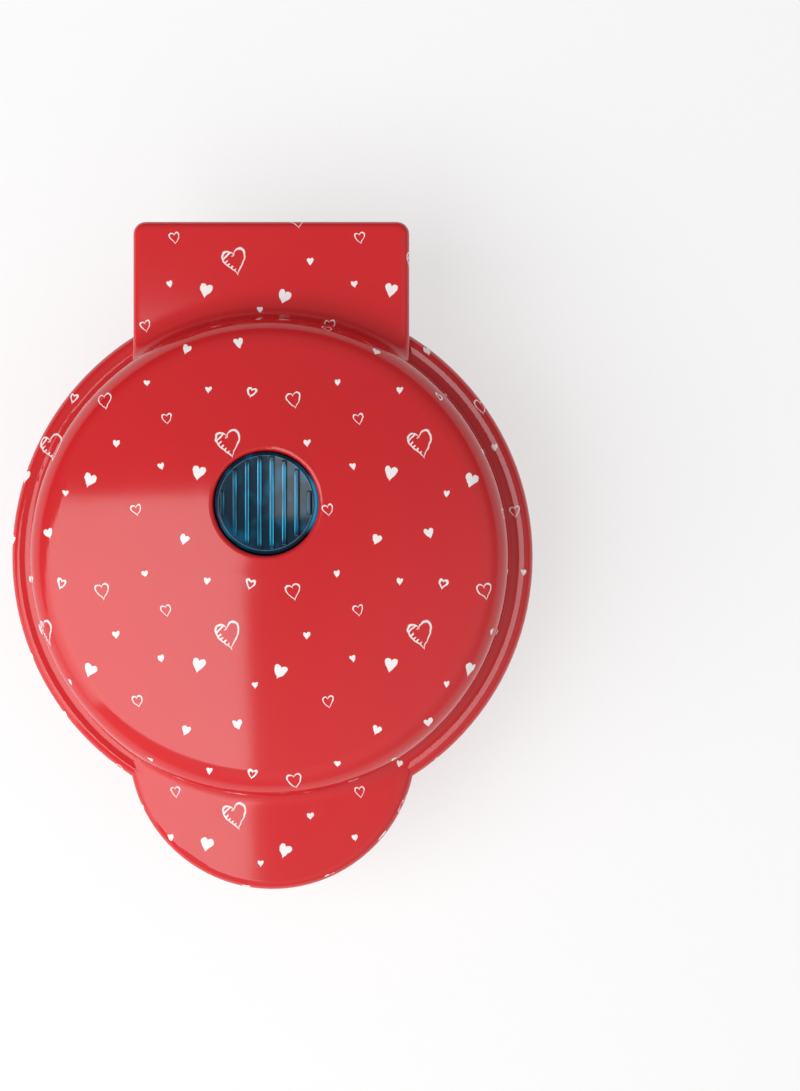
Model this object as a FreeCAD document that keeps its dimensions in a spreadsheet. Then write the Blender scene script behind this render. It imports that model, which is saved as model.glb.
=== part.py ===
import FreeCAD, Part
import math
import os

import Sketcher

# A round mini waffle maker: two shells that close like a clam, hinged at the back, with a
# round grip tab at the front, a ribbed indicator lens on the lid and a pair of heart-shaped
# cooking plates inside. Millimetres, +Z up, the front at -Y. The origin lies on the table
# under the centre of the round body.

Vector = FreeCAD.Vector
OUT_DIR = "parts"
SHEET = "Sizes"

# Driving dimensions, in millimetres unless the comment says otherwise.
SIZES = {
    # Both shells
    "rim_radius": 63.5,        # round body at the parting plane
    "parting_height": 36.0,    # parting plane above the table
    "rim_gap": 1.0,            # gap between the two shell rims
    "shell_wall": 2.2,
    "cut_past": 2.0,           # how far a cut starts outside what it cuts
    "fit_gap": 0.2,            # clearance round a piece that drops into another
    "run_gap": 0.06,           # radial clearance of a turning pin
    "swing_gap": 0.5,          # side clearance between the two hinge halves
    # Rim of each shell
    "flange_rise": 10.5,       # flange above the shell's rim
    "rim_round": 0.5,          # rounding of the rim's edge at the gap
    "brow_width": 2.3,         # rounded outer edge between the upright band and the crest
    "brow_round": 2.8,         # rounding of that edge
    "crest_step": 0.5,         # crest of the flange above the brow
    "flange_width": 4.2,       # flange between the crest and the dome's wall
    "lip_tilt_angle": 9.5,     # how steeply the flange rises to the crest, in degrees
    "dome_foot_round": 2.6,    # hollow rounding where the dome meets the flange
    # Lid
    "lid_rise": 34.0,          # top of the dome above the parting plane
    "crown_radius": 222.0,     # curvature of the dome's top
    "wall_above_hood": 5.0,    # upright wall of the dome above the hinge hood
    "crease_round": 2.0,       # hollow rounding where the dome meets the grip
    "hood_sweep": 5.6,         # hollow rounding where the hinge hood sweeps up to the dome
    "sweep_bite": 0.12,        # how deep that rounding runs into the dome
    # Grip tabs
    "grip_reach": 17.5,        # front edge of the lid's grip, in front of the rim
    "grip_radius": 35.0,
    "grip_rise": 13.4,         # top of the lid's grip above the parting plane
    "grip_crown": 240.0,       # curvature of the grip's top
    "grip_round": 2.8,
    "low_grip_setback": 4.0,   # the base's grip ends this far behind the lid's
    "low_grip_drop": 5.0,      # top of the base's grip below the parting plane
    "low_grip_rise": 7.0,      # thickness of the base's grip
    # Hinge
    "hinge_reach": 17.5,       # back of the hinge hood, behind the rim
    "hood_half": 33.35,        # half the hood's width
    "hood_rise": 14.5,         # top of the hood above the parting plane
    "hood_corner": 3.0,        # rounded back corners, seen from above
    "hood_round": 2.0,         # rounded top edges
    "hood_root": 23.5,         # how far inside the rim hood and tower start
    "cheek_wall": 3.0,         # hood side walls that hold the pins
    "axis_inset": 9.5,         # hinge axis in front of the hood's back
    "axis_rise": 5.0,          # hinge axis above the parting plane
    "back_wall_rise": 3.5,     # lower edge of the hood's back wall above the parting plane
    "pin_radius": 2.5,
    "pin_reach": 8.0,          # pin inside the base's knuckle
    "pin_head_radius": 4.0,
    "pin_head_height": 1.2,
    "knuckle_radius": 6.0,
    "knuckle_inner": 12.0,     # inner end of each knuckle, from the middle
    "tower_inset": 14.5,       # back of the base's hinge tower, in front of the hood's back
    "tower_depth": 6.5,        # front to back of the tower's two columns
    # Base
    "floor_height": 5.5,       # underside of the base shell
    "bowl_wall": 3.0,          # upright wall between the base's rounded bottom and its flange
    "base_plate_inset": 4.0,   # base cover inside the flat of the floor
    "cover_lap": 8.0,          # how far the cover laps the service opening in the floor
    "base_plate_wall": 2.0,
    "foot_radius": 5.5,
    "foot_tip_radius": 4.5,
    "foot_spigot": 2.6,        # radius of the plug that holds a foot
    "foot_inset": 7.0,         # front feet inside the edge of the cover
    "back_foot_x": 17.0,       # back feet, under the hinge tower
    "back_foot_inset": 10.0,   # back feet in front of the tower's back
    # Inner frames
    "frame_wall": 2.5,
    "frame_rail": 5.11,         # width of the ring round the cooking plate
    "frame_lip": 2.0,          # thickness of the lip behind the plate's flange
    "lip_reach": 3.8,          # lip inside the ring
    "lip_root": 2.8,           # lip behind the ring
    "frame_inset": 13.5,       # back edge of the frames, in front of the hinge axis
    # Cooking plates
    "plate_fit": 0.5,          # clearance between the plate's flange and the frame
    "plate_bevel": 3.0,        # bevel round the plate's back
    "plate_gap": 0.3,          # gap between the closed plates
    "plate_floor": 3.5,
    "cavity_depth": 9.5,
    "cavity_round": 0.8,       # rounded mouth of the cavity
    "heart_margin": 2.95,      # wall between the heart and the plate's edge
    "stud_pitch": 14.9,
    "stud_side": 10.4,
    "stud_height": 6.5,
    "stud_taper": 8.0,         # degrees
    # Heating
    "element_inset": 19.0,     # heating ring inside the plate's edge
    "element_radius": 3.2,
    "element_sunk": 1.6,       # the element's centre behind the plate's back
    "element_gap_angle": 40.0,  # degrees left open at the back
    "leg_length": 3.7,         # element legs that turn away from the plate
    "leg_radius": 2.9,
    "bead_radius": 2.6,
    "bead_length": 3.0,
    "terminal_pin_radius": 1.1,
    "terminal_pin_length": 2.0,
    "post_inset": 7.0,         # reflector posts inside the plate's edge
    "post_radius": 3.5,
    "post_height": 5.4,
    "reflector_inset": 2.5,    # reflector inside the plate's edge
    "reflector_wall": 0.6,
    "reflector_edge": 2.0,     # height of its turned edge
    "reflector_opening": 13.0,
    "thermostat_radius": 8.5,
    "thermostat_height": 8.0,
    "thermostat_ear": 17.0,    # half the length of its mounting ears
    "thermostat_ear_width": 8.0,
    "thermostat_ear_wall": 1.0,
    "thermostat_screw": 13.5,
    "blade_width": 4.0,
    "blade_wall": 0.8,
    "blade_length": 4.0,
    "blade_place": 4.2,
    "fuse_radius": 2.0,
    "fuse_length": 16.0,
    "fuse_inset": 13.0,        # fuse inside the heating ring
    "fuse_clip_width": 6.0,
    "fuse_clip_wall": 0.7,
    "fuse_clip_foot": 8.5,     # reach of the clip's feet from the fuse
    "fuse_clip_screw": 5.8,
    # Indicator
    "lens_radius": 11.85,
    "lens_place": 12.6,        # lens behind the body's axis
    "lens_gap": 0.35,
    "lens_edge_round": 1.0,    # rounded edge of the hole
    "lens_sink": 0.7,          # lens face below the top of the dome
    "lens_bevel": 0.8,
    "lens_flange": 13.9,
    "lens_flange_wall": 1.4,
    "lens_gasket_wall": 0.8,
    "lens_collar": 17.5,       # thick ring of the dome round the lens
    "lens_seat_drop": 5.4,     # flat seat inside the dome, below its top
    "lens_skin": 2.4,
    "lens_side": 2.2,
    "rib_pitch": 2.86,
    "rib_width": 1.05,
    "rib_height": 0.8,
    "rib_round": 0.3,
    "rib_circle": 10.9,        # ribs end on this circle
    "retainer_wall": 1.6,
    "retainer_inner": 11.0,
    "retainer_screw": 15.7,
    "lamp_bar_width": 5.0,
    "lamp_radius": 2.0,
    "lamp_length": 12.0,
    "lamp_tip": 1.0,
    # Fasteners
    "screw_shank": 1.25,
    "screw_head": 2.3,
    "screw_head_height": 1.5,
    "screw_recess": 0.8,       # depth of the cross recess
    "screw_cross": 0.5,        # width of each arm of the cross
    "screw_sink": 1.6,         # how far a frame's screw heads are let in
    "screw_boss": 3.2,
    "frame_screw_length": 6.5,
    "lid_screw_outset": 5.8,   # front screws of the lid's frame, outside its lip
    "lid_screw_angle": 12.0,   # degrees either side of the front
    "back_screw_outset": 2.65,  # back screws outside the frame's opening
    "back_screw_angle": 24.2,  # degrees either side of the back
    "base_screw_inset": 2.96,  # front screws of the base's frame, inside its edge
    "base_screw_angle": 25.0,  # degrees either side of the front
    "small_shank": 1.0,
    "small_head": 1.6,
    "small_head_height": 1.1,
    "plate_screw_inset": 1.5,  # plate screws outside the lip's inner edge
    "small_screw_bite": 2.0,   # thread length of a small screw in its piece
    "cover_screw_inset": 3.5,  # screws inside the edge of the cover
    "cover_boss_rise": 3.5,
    # Mains inlet and wiring
    "gland_height": 15.5,
    "gland_bore": 3.4,
    "gland_radius": 5.2,
    "gland_collar": 6.2,
    "gland_flange": 6.8,
    "gland_flange_wall": 1.6,
    "terminal_length": 22.0,
    "terminal_depth": 8.0,
    "terminal_height": 6.5,
    "terminal_gap": 1.0,       # terminal block in front of the tower's columns
    "terminal_pitch": 7.0,
    "terminal_bore": 1.5,
    "wire_radius": 0.9,
    "sleeve_radius": 2.2,
    "lead_bend": 3.0,          # easing of a lead's bends
    "sleeve_offset": 6.5,      # sleeve runs either side of the middle of the hinge
    "channel_half": 11.0,      # wire channel between the tower's columns
}


class Size:
    """A number together with the sheet expression that it comes from."""

    def __init__(self, value, text):
        self.value = value
        self.text = text

    def __add__(self, other):
        return Size(self.value + number(other), f"({self.text} + {words(other)})")

    def __radd__(self, other):
        return Size(number(other) + self.value, f"({words(other)} + {self.text})")

    def __sub__(self, other):
        return Size(self.value - number(other), f"({self.text} - {words(other)})")

    def __rsub__(self, other):
        return Size(number(other) - self.value, f"({words(other)} - {self.text})")

    def __mul__(self, other):
        return Size(self.value * number(other), f"({self.text} * {words(other)})")

    __rmul__ = __mul__

    def __truediv__(self, other):
        return Size(self.value / number(other), f"({self.text} / {words(other)})")

    def __neg__(self):
        return Size(-self.value, f"(0 - {self.text})")


def number(size):
    return size.value if isinstance(size, Size) else float(size)


def words(size):
    return size.text if isinstance(size, Size) else repr(float(size))


def root(size):
    return Size(math.sqrt(number(size)), f"sqrt({words(size)})")


def cosine(angle):
    return Size(math.cos(math.radians(number(angle))), f"cos({words(angle)} * 1 deg)")


def sine(angle):
    return Size(math.sin(math.radians(number(angle))), f"sin({words(angle)} * 1 deg)")


def arc_sine(ratio):
    """An angle in degrees from its sine."""
    return Size(math.degrees(math.asin(number(ratio))), f"(asin({words(ratio)}) / 1 deg)")


class Sizes:
    """The sheet's cells, as Size values named by their aliases."""

    def __init__(self, sheet):
        for alias in SIZES:
            setattr(self, alias, Size(float(sheet.get(alias)), f"{SHEET}.{alias}"))


def make_sheet(doc):
    sheet = doc.addObject("Spreadsheet::Sheet", SHEET)
    for row, (alias, value) in enumerate(SIZES.items(), start=1):
        sheet.set(f"A{row}", alias)
        sheet.set(f"B{row}", str(value))
        sheet.setAlias(f"B{row}", alias)
    doc.recompute()
    return sheet


doc = FreeCAD.newDocument("WaffleMaker")
s = Sizes(make_sheet(doc))
nodes = {}


# Helpers that draw and build

def bind(thing, prop, size):
    """Ties one property of an object to the sheet."""
    thing.setExpression(prop, words(size))


def new_body(name):
    body = doc.addObject("PartDesign::Body", name)
    body.AllowCompound = True
    return body


def keep(thing, label):
    """Marks an object of the document as one finished sub-part."""
    thing.Label = label
    nodes[label] = thing
    return thing


def sketch_on(body, role, name, offset=0, across=0):
    """A sketch on one of the body's own planes, moved along its normal and along its X."""
    sketch = body.newObject("Sketcher::SketchObject", name)
    plane = next(f for f in body.Origin.OriginFeatures if f.Role == role)
    sketch.AttachmentSupport = [(plane, "")]
    sketch.MapMode = "FlatFace"
    bind(sketch, "AttachmentOffset.Base.z", offset)
    bind(sketch, "AttachmentOffset.Base.x", across)
    return sketch


def fix(sketch, *parts, size=None):
    """Adds one constraint, tied to the sheet where it has a size."""
    if size is None:
        return sketch.addConstraint(Sketcher.Constraint(*parts))
    index = sketch.addConstraint(Sketcher.Constraint(*parts, number(size)))
    if isinstance(size, Size):
        sketch.setExpression(f"Constraints[{index}]", size.text)
    return index


def place_point(sketch, geometry, point, x, y):
    """Holds a point of a sketch at x, y. A plain zero puts it on the axis."""
    for size, kind, axis in ((x, "DistanceX", -2), (y, "DistanceY", -1)):
        if isinstance(size, Size):
            fix(sketch, kind, -1, 1, geometry, point, size=size)
        elif size == 0:
            fix(sketch, "PointOnObject", geometry, point, axis)
        else:
            fix(sketch, kind, -1, 1, geometry, point, size=size)


def outline(sketch, corners):
    """A closed outline. A corner is (x, y), or (x, y, radius) where an arc of less than half
    a circle leads to it: a positive radius turns left on the way, a negative one right."""
    ends = []
    for index, corner in enumerate(corners):
        start = corners[index - 1]
        p = Vector(number(start[0]), number(start[1]), 0)
        q = Vector(number(corner[0]), number(corner[1]), 0)
        if len(corner) == 2:
            line = sketch.addGeometry(Part.LineSegment(p, q))
            ends.append(((line, 1), (line, 2)))
            continue
        radius = corner[2]
        left = number(radius) > 0
        chord = q - p
        bulge = abs(number(radius)) - math.sqrt(number(radius) ** 2 - chord.Length ** 2 / 4)
        side = Vector(chord.y, -chord.x, 0).normalize() * (bulge if left else -bulge)
        middle = (p + q) / 2 + side
        arc = sketch.addGeometry(Part.Arc(p, middle, q) if left else Part.Arc(q, middle, p))
        ends.append(((arc, 1), (arc, 2)) if left else ((arc, 2), (arc, 1)))
        fix(sketch, "Radius", arc, size=radius if left else -radius)
    for index, corner in enumerate(corners):
        here = ends[index][1]
        following = ends[(index + 1) % len(ends)][0]
        fix(sketch, "Coincident", *here, *following)
        place_point(sketch, *here, corner[0], corner[1])


def circle(sketch, x, y, radius):
    ring = sketch.addGeometry(Part.Circle(Vector(number(x), number(y), 0), Vector(0, 0, 1), number(radius)))
    fix(sketch, "Radius", ring, size=radius)
    place_point(sketch, ring, 3, x, y)


def rectangle(sketch, x0, y0, x1, y1):
    outline(sketch, [(x0, y0), (x1, y0), (x1, y1), (x0, y1)])


def finish_feature(body, feature, removes=False):
    """Rebuilds, and stops if a cut removed nothing."""
    body.Tip = feature
    doc.recompute()
    if feature.Shape.isNull() or not feature.Shape.isValid():
        raise RuntimeError(f"{body.Name}.{feature.Name} has no valid shape: {feature.State}")
    if removes and feature.Shape.Volume > feature.BaseFeature.Shape.Volume - 1e-6:
        raise RuntimeError(f"{body.Name}.{feature.Name} cuts nothing")
    return feature


def pad(body, sketch, length, taper=0, both=False):
    feature = body.newObject("PartDesign::Pad", sketch.Name + "Pad")
    feature.Profile = sketch
    bind(feature, "Length", length)
    feature.Midplane = both
    if number(taper):
        bind(feature, "TaperAngle", -taper)
    return finish_feature(body, feature)


def pocket(body, sketch, length, upwards=False, both=False, taper=0):
    """Cuts from the sketch along its normal (upwards) or against it."""
    feature = body.newObject("PartDesign::Pocket", sketch.Name + "Pocket")
    feature.Profile = sketch
    bind(feature, "Length", length)
    feature.Reversed = upwards
    feature.Midplane = both
    if number(taper):
        bind(feature, "TaperAngle", -taper)
    return finish_feature(body, feature, removes=True)


def revolve(body, sketch, angle=360):
    feature = body.newObject("PartDesign::Revolution", sketch.Name + "Turn")
    feature.Profile = sketch
    feature.ReferenceAxis = (sketch, ["V_Axis"])
    bind(feature, "Angle", angle)
    return finish_feature(body, feature)


def groove(body, sketch, must_cut=True):
    feature = body.newObject("PartDesign::Groove", sketch.Name + "Cut")
    feature.Profile = sketch
    feature.ReferenceAxis = (sketch, ["V_Axis"])
    feature.Angle = 360
    return finish_feature(body, feature, removes=must_cut)


def fillet(body, radius, picks, name):
    """Rounds the edges of the newest feature for which picks(edge) is true."""
    base = body.Tip
    chosen = [f"Edge{i}" for i, edge in enumerate(base.Shape.Edges, start=1) if picks(edge)]
    if not chosen:
        raise RuntimeError(f"{body.Name}: no edge to round for {name}")
    feature = body.newObject("PartDesign::Fillet", name)
    feature.Base = (base, chosen)
    bind(feature, "Radius", radius)
    return finish_feature(body, feature)


def near(a, b, within=1e-3):
    return abs(a - number(b)) < within


def mirrored(thing, label):
    """The same piece turned over about the parting plane."""
    copy = doc.addObject("Part::Mirroring", label)
    copy.Source = thing
    copy.Normal = Vector(0, 0, 1)
    bind(copy, "Base.z", s.parting_height)
    doc.recompute()
    return keep(copy, label)


def copies(master, label, places, flip=False):
    """A group of copies of one piece, each at (x, y, z), upside down where flip is set."""
    links = []
    for index, place in enumerate(places):
        link = doc.addObject("App::Link", f"{label}_{index}")
        link.LinkedObject = master
        link.Placement.Rotation = FreeCAD.Rotation(Vector(1, 0, 0), 180 if flip else 0)
        for axis, size in zip("xyz", place):
            bind(link, f"Placement.Base.{axis}", size)
        links.append(link)
    group = doc.addObject("Part::Compound", label)
    group.Links = links
    doc.recompute()
    return keep(group, label)


def polar(radius, angle):
    return radius * cosine(angle), radius * sine(angle)


# Levels and places that several pieces share

lid_rim = s.parting_height + s.rim_gap / 2
base_rim = s.parting_height - s.rim_gap / 2
crest_radius = s.rim_radius - s.brow_width
dome_radius = crest_radius - s.flange_width
lid_top = s.parting_height + s.lid_rise
hood_top = s.parting_height + s.hood_rise
hinge_back = s.rim_radius + s.hinge_reach
axis_y = hinge_back - s.axis_inset
axis_z = s.parting_height + s.axis_rise
cheek_inner = s.hood_half - s.cheek_wall
tower_half = cheek_inner - s.swing_gap
grip_centre = s.rim_radius + s.grip_reach - s.grip_radius
hood_root = s.rim_radius - s.hood_root
tower_back = hinge_back - s.tower_inset
tower_front = tower_back - s.tower_depth
lid_frame_back = lid_rim + s.frame_wall
base_frame_back = base_rim - s.frame_wall
base_floor = s.floor_height + s.shell_wall
bowl_shoulder = base_rim - s.flange_rise - s.dome_foot_round - s.bowl_wall - s.floor_height
base_plate_radius = dome_radius - bowl_shoulder - s.base_plate_inset
frame_radius = s.rim_radius - s.shell_wall - s.fit_gap
frame_opening = frame_radius - s.frame_rail
frame_back = axis_y - s.frame_inset
lip_inner = frame_opening - s.lip_reach
lip_outer = frame_opening + s.lip_root
plate_radius = frame_opening - s.plate_fit
plate_body = lip_inner - s.fit_gap
element_circle = plate_body - s.element_inset
post_circle = plate_body - s.post_inset
reflector_radius = plate_body - s.reflector_inset
fuse_place = element_circle - s.fuse_inset
terminal_place = tower_front - s.terminal_gap - s.terminal_depth / 2
plate_face = s.parting_height - s.plate_gap / 2
plate_back = plate_face - s.cavity_depth - s.plate_floor


class Crown:
    """A domed top that runs through a rounded shoulder into an upright wall."""

    def __init__(self, top, crown, shoulder, wall_radius):
        self.crown = crown
        self.shoulder = shoulder
        self.top = top
        self.wall_radius = wall_radius
        centre = top - crown
        across = wall_radius - shoulder
        reach = crown - shoulder
        rise = root(reach * reach - across * across)
        self.wall_top = centre + rise
        self.edge_radius = across * crown / reach
        self.edge_height = centre + rise * crown / reach

    def corners(self):
        """From the top of the wall over the shoulder to the middle of the crown."""
        return [
            (self.wall_radius, self.wall_top),
            (self.edge_radius, self.edge_height, self.shoulder),
            (0, self.top, self.crown),
        ]

    def inside(self, wall):
        return Crown(self.top - wall, self.crown - wall, self.shoulder - wall, self.wall_radius - wall)


def rim_corners(rim, up):
    """The upright band, rounded brow, crest and hollow flange of a shell, from its rim to the
    dome's foot. up is 1 on the lid and -1 on the base."""
    flange = rim + up * s.flange_rise
    lip_radius = dome_radius + s.dome_foot_round * (1 + sine(s.lip_tilt_angle))
    lip_rise = s.dome_foot_round * (1 - cosine(s.lip_tilt_angle))
    lip_width = crest_radius - lip_radius
    crest_rise = lip_rise + lip_width * sine(s.lip_tilt_angle) / cosine(s.lip_tilt_angle)
    brow_rise = crest_rise - s.crest_step
    brow_inset = s.brow_round - s.brow_width
    brow_drop = root(s.brow_round * s.brow_round - brow_inset * brow_inset)
    return [
        (s.rim_radius - s.rim_round, rim),
        (s.rim_radius, rim + up * s.rim_round, up * s.rim_round),
        (s.rim_radius, flange + up * (brow_rise - brow_drop)),
        (crest_radius, flange + up * brow_rise, up * s.brow_round),
        (crest_radius, flange + up * crest_rise),
        (lip_radius, flange + up * lip_rise),
        (dome_radius, flange + up * s.dome_foot_round, -up * s.dome_foot_round),
    ]


def inner_rim_corners(rim, up, past):
    """The inside of a shell's rim, from beyond the rim to the foot of the dome's inner wall."""
    ceiling = rim + up * (s.flange_rise - s.shell_wall)
    mouth = s.rim_radius - s.shell_wall
    return [
        (0, rim - up * past),
        (mouth, rim - up * past),
        (mouth, ceiling),
        (dome_radius - s.shell_wall, ceiling),
    ]


wall_rise = hood_top + s.wall_above_hood - lid_top + s.crown_radius
shoulder_span = s.crown_radius * s.crown_radius - dome_radius * dome_radius - wall_rise * wall_rise
shoulder_radius = shoulder_span / (s.crown_radius - dome_radius) / 2
dome = Crown(lid_top, s.crown_radius, shoulder_radius, dome_radius)
grip = Crown(s.parting_height + s.grip_rise, s.grip_crown, s.grip_round, s.grip_radius)

# The hood's hollow rounding lies between the hood's top and the dome's shoulder
shoulder_centre = dome_radius - shoulder_radius
shoulder_bitten = shoulder_radius - s.sweep_bite
sweep_apart = shoulder_bitten + s.hood_sweep
sweep_above = hood_top + s.hood_sweep - dome.wall_top
sweep_across = root(sweep_apart * sweep_apart - sweep_above * sweep_above)
sweep_radius = shoulder_centre + sweep_across
sweep_inner = shoulder_centre + sweep_across * shoulder_bitten / sweep_apart
sweep_top = dome.wall_top + sweep_above * shoulder_bitten / sweep_apart


def rounded_plan(sketch, half, front, back, corner):
    """A block's outline with rounded back corners, behind the body's axis."""
    outline(sketch, [
        (-half, front),
        (half, front),
        (half, back - corner),
        (half - corner, back, corner),
        (corner - half, back),
        (-half, back - corner, corner),
    ])


def posts(body, name, places, radius, bottom, top):
    """Upright round posts for screws."""
    plan = sketch_on(body, "XY_Plane", name, bottom)
    for x, y in places:
        circle(plan, x, y, radius)
    return pad(body, plan, top - bottom)


def holes(body, name, places, radius, start, depth, upwards):
    """Round holes along Z, all of one radius and depth."""
    plan = sketch_on(body, "XY_Plane", name, start)
    for x, y in places:
        circle(plan, x, y, radius)
    return pocket(body, plan, depth, upwards=upwards)


def cross_bore(body, name, y, z, radius, start, depth, towards_left):
    """A round hole along X, from x = start, towards -X or +X."""
    side = sketch_on(body, "YZ_Plane", name, start)
    circle(side, y, z, radius)
    return pocket(body, side, depth, upwards=not towards_left)


# Screw places

def either_side(radius, middle, angle):
    """Two places on a circle, an angle either side of a middle direction."""
    return [polar(radius, middle - angle), polar(radius, middle + angle)]


lid_front_screws = either_side(lip_outer + s.lid_screw_outset, -90, s.lid_screw_angle)
back_screws = either_side(frame_opening + s.back_screw_outset, 90, s.back_screw_angle)
base_front_screws = either_side(frame_radius - s.base_screw_inset, -90, s.base_screw_angle)
lid_frame_screws = lid_front_screws + back_screws
base_frame_screws = base_front_screws + back_screws
plate_screws = [polar(lip_inner + s.plate_screw_inset, 30 + 120 * turn) for turn in range(3)]
post_places = [polar(post_circle, 90 + 120 * turn) for turn in range(3)]
cover_screws = [polar(base_plate_radius - s.cover_screw_inset, 30 + 120 * turn) for turn in range(3)]
front_feet = [polar(base_plate_radius - s.foot_inset, 225 + 90 * turn) for turn in range(2)]
back_feet = [(side * s.back_foot_x, tower_back - s.back_foot_inset) for side in (-1, 1)]


lens_axis_z = lid_top - s.crown_radius
lens_tilt = arc_sine(s.lens_place / s.crown_radius)
lens_seat = lid_top - s.lens_seat_drop
lens_hole = s.lens_radius + s.lens_gap
base_lip_back = base_frame_back - s.frame_lip
lid_lip_back = lid_frame_back + s.frame_lip
element_z = plate_back - s.element_sunk
reflector_face = plate_back - s.post_height
half_gap = s.element_gap_angle / 2
leg_places = [polar(element_circle, 90 - half_gap), polar(element_circle, 90 + half_gap)]
leg_end = element_z - s.leg_length
thermostat_screws = [(-s.thermostat_screw, 0), (s.thermostat_screw, 0)]
fuse_screw = [(0, -fuse_place - s.fuse_clip_screw)]
terminal_screws = [(way * s.terminal_pitch, terminal_place) for way in (-1, 0, 1)]
lamp_seat = lens_seat - s.lens_gasket_wall - s.lens_flange_wall - s.retainer_wall
retainer_screws = [(-s.retainer_screw, s.lens_place), (s.retainer_screw, s.lens_place)]


def make_upper_housing():
    """The lid's shell: dome, rim, grip and the hood that covers the hinge."""
    body = new_body("UpperHousing")
    make_hood(body)
    grip_profile = sketch_on(body, "XZ_Plane", "Grip", grip_centre)
    outline(grip_profile, [(0, lid_rim), (s.grip_radius, lid_rim), *grip.corners()])
    revolve(body, grip_profile)
    dome_profile = sketch_on(body, "XZ_Plane", "Dome")
    outline(dome_profile, [(0, lid_rim), *rim_corners(lid_rim, 1), *dome.corners()])
    revolve(body, dome_profile)
    fillet(body, s.crease_round, is_crease, "Creases")
    hollow_lid(body)
    make_lens_collar(body)
    posts(body, "FrontPosts", lid_front_screws, s.screw_boss, lid_frame_back, grip.edge_height - s.fit_gap)
    posts(body, "BackPosts", back_screws, s.screw_boss, lid_lip_back, hood_top - s.shell_wall / 2)
    screw_seat = lid_rim + s.screw_sink
    holes(body, "Pilots", lid_frame_screws, s.screw_shank, screw_seat, s.frame_screw_length, True)
    for side, name in ((1, "Right"), (-1, "Left")):
        face = side * s.hood_half
        inward = side > 0
        for hole, radius, depth in (
            ("PinHole", s.pin_radius, s.cheek_wall * 1.1),
            ("HeadHole", s.pin_head_radius, s.pin_head_height),
        ):
            cross_bore(body, name + hole, axis_y, axis_z, radius, face, depth, inward)
    return keep(body, "upper_housing")


def make_hood(body):
    """The hinge hood: a disc that sweeps up to the dome, trimmed to the hood's outline."""
    disc = hinge_back + s.hood_half
    sweep = sketch_on(body, "XZ_Plane", "HoodSweep")
    outline(sweep, [
        (0, lid_rim),
        (disc, lid_rim),
        (disc, hood_top),
        (sweep_radius, hood_top),
        (sweep_inner, sweep_top, -s.hood_sweep),
        (0, sweep_top),
    ])
    revolve(body, sweep)
    trim = sketch_on(body, "XY_Plane", "HoodTrim", lid_rim)
    edge = disc + s.cut_past
    rectangle(trim, -edge, -edge, edge, edge)
    rounded_plan(trim, s.hood_half, hood_root, hinge_back, s.hood_corner)
    pocket(body, trim, sweep_top - lid_rim + s.cut_past, upwards=True)
    fillet(body, s.hood_round, is_hood_edge, "HoodEdges")


def is_hood_edge(edge):
    """The top edges of the hood's sides and back."""
    middle = edge.valueAt((edge.FirstParameter + edge.LastParameter) / 2)
    at_side = near(abs(middle.x), s.hood_half)
    behind = middle.y > number(sweep_radius) + number(s.hood_round)
    return near(edge.BoundBox.ZMin, hood_top) and (at_side or behind)


def is_crease(edge):
    """The hollow edge where the dome rises out of the grip."""
    middle = edge.valueAt((edge.FirstParameter + edge.LastParameter) / 2)
    reach = math.hypot(middle.x, middle.y)
    on_wall = abs(reach - number(dome_radius)) < number(s.dome_foot_round) * 0.5
    in_front = middle.y < -number(grip_centre) and middle.z > number(lid_rim + s.flange_rise)
    seam = near(edge.BoundBox.ZMin, edge.BoundBox.ZMax)
    return on_wall and in_front and not seam


def hollow_lid(body):
    inside = sketch_on(body, "XZ_Plane", "DomeInside")
    outline(inside, [*inner_rim_corners(lid_rim, 1, s.cut_past), *dome.inside(s.shell_wall).corners()])
    groove(body, inside)
    hollow = grip.inside(s.shell_wall)
    grip_inside = sketch_on(body, "XZ_Plane", "GripInside", grip_centre)
    below = lid_rim - s.cut_past
    outline(grip_inside, [(0, below), (hollow.wall_radius, below), *hollow.corners()])
    groove(body, grip_inside)
    hood_inside = sketch_on(body, "XY_Plane", "HoodInside", below)
    rectangle(hood_inside, -cheek_inner, hood_root, cheek_inner, hinge_back - s.shell_wall)
    pocket(body, hood_inside, hood_top - s.shell_wall - below, upwards=True)
    back_edge = sketch_on(body, "XY_Plane", "HoodBackEdge", below)
    rectangle(back_edge, -cheek_inner, axis_y, cheek_inner, hinge_back + s.cut_past)
    pocket(body, back_edge, s.parting_height + s.back_wall_rise - below, upwards=True)


def make_lens_collar(body):
    """A thick ring of the dome round the lens, square to the dome, with a rounded mouth and
    a level seat underneath."""
    cut = sketch_on(body, "YZ_Plane", "LensCut")
    tilt_to_lens(cut)
    rectangle(cut, 0, s.crown_radius - s.lens_seat_drop * 2, s.lens_collar, s.crown_radius + s.cut_past)
    groove(body, cut)
    ring = sketch_on(body, "YZ_Plane", "LensCollar")
    tilt_to_lens(ring)
    ball = s.crown_radius - s.lens_edge_round
    mouth = lens_hole + s.lens_edge_round
    mouth_rise = root(ball * ball - mouth * mouth)
    touch_r = mouth * s.crown_radius / ball
    touch_z = mouth_rise * s.crown_radius / ball
    outer_z = root(s.crown_radius * s.crown_radius - s.lens_collar * s.lens_collar)
    foot = s.crown_radius - s.lens_seat_drop * 1.4
    outline(ring, [
        (lens_hole, foot),
        (s.lens_collar, foot),
        (s.lens_collar, outer_z),
        (touch_r, touch_z, s.crown_radius),
        (lens_hole, mouth_rise, s.lens_edge_round),
    ])
    revolve(body, ring)
    seat = sketch_on(body, "XY_Plane", "LensSeat", lens_seat)
    circle(seat, 0, s.lens_place, s.lens_collar + s.cut_past)
    pocket(body, seat, s.lens_seat_drop)
    holes(body, "RetainerPilots", retainer_screws, s.small_shank, lens_seat, s.small_screw_bite, True)


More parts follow.
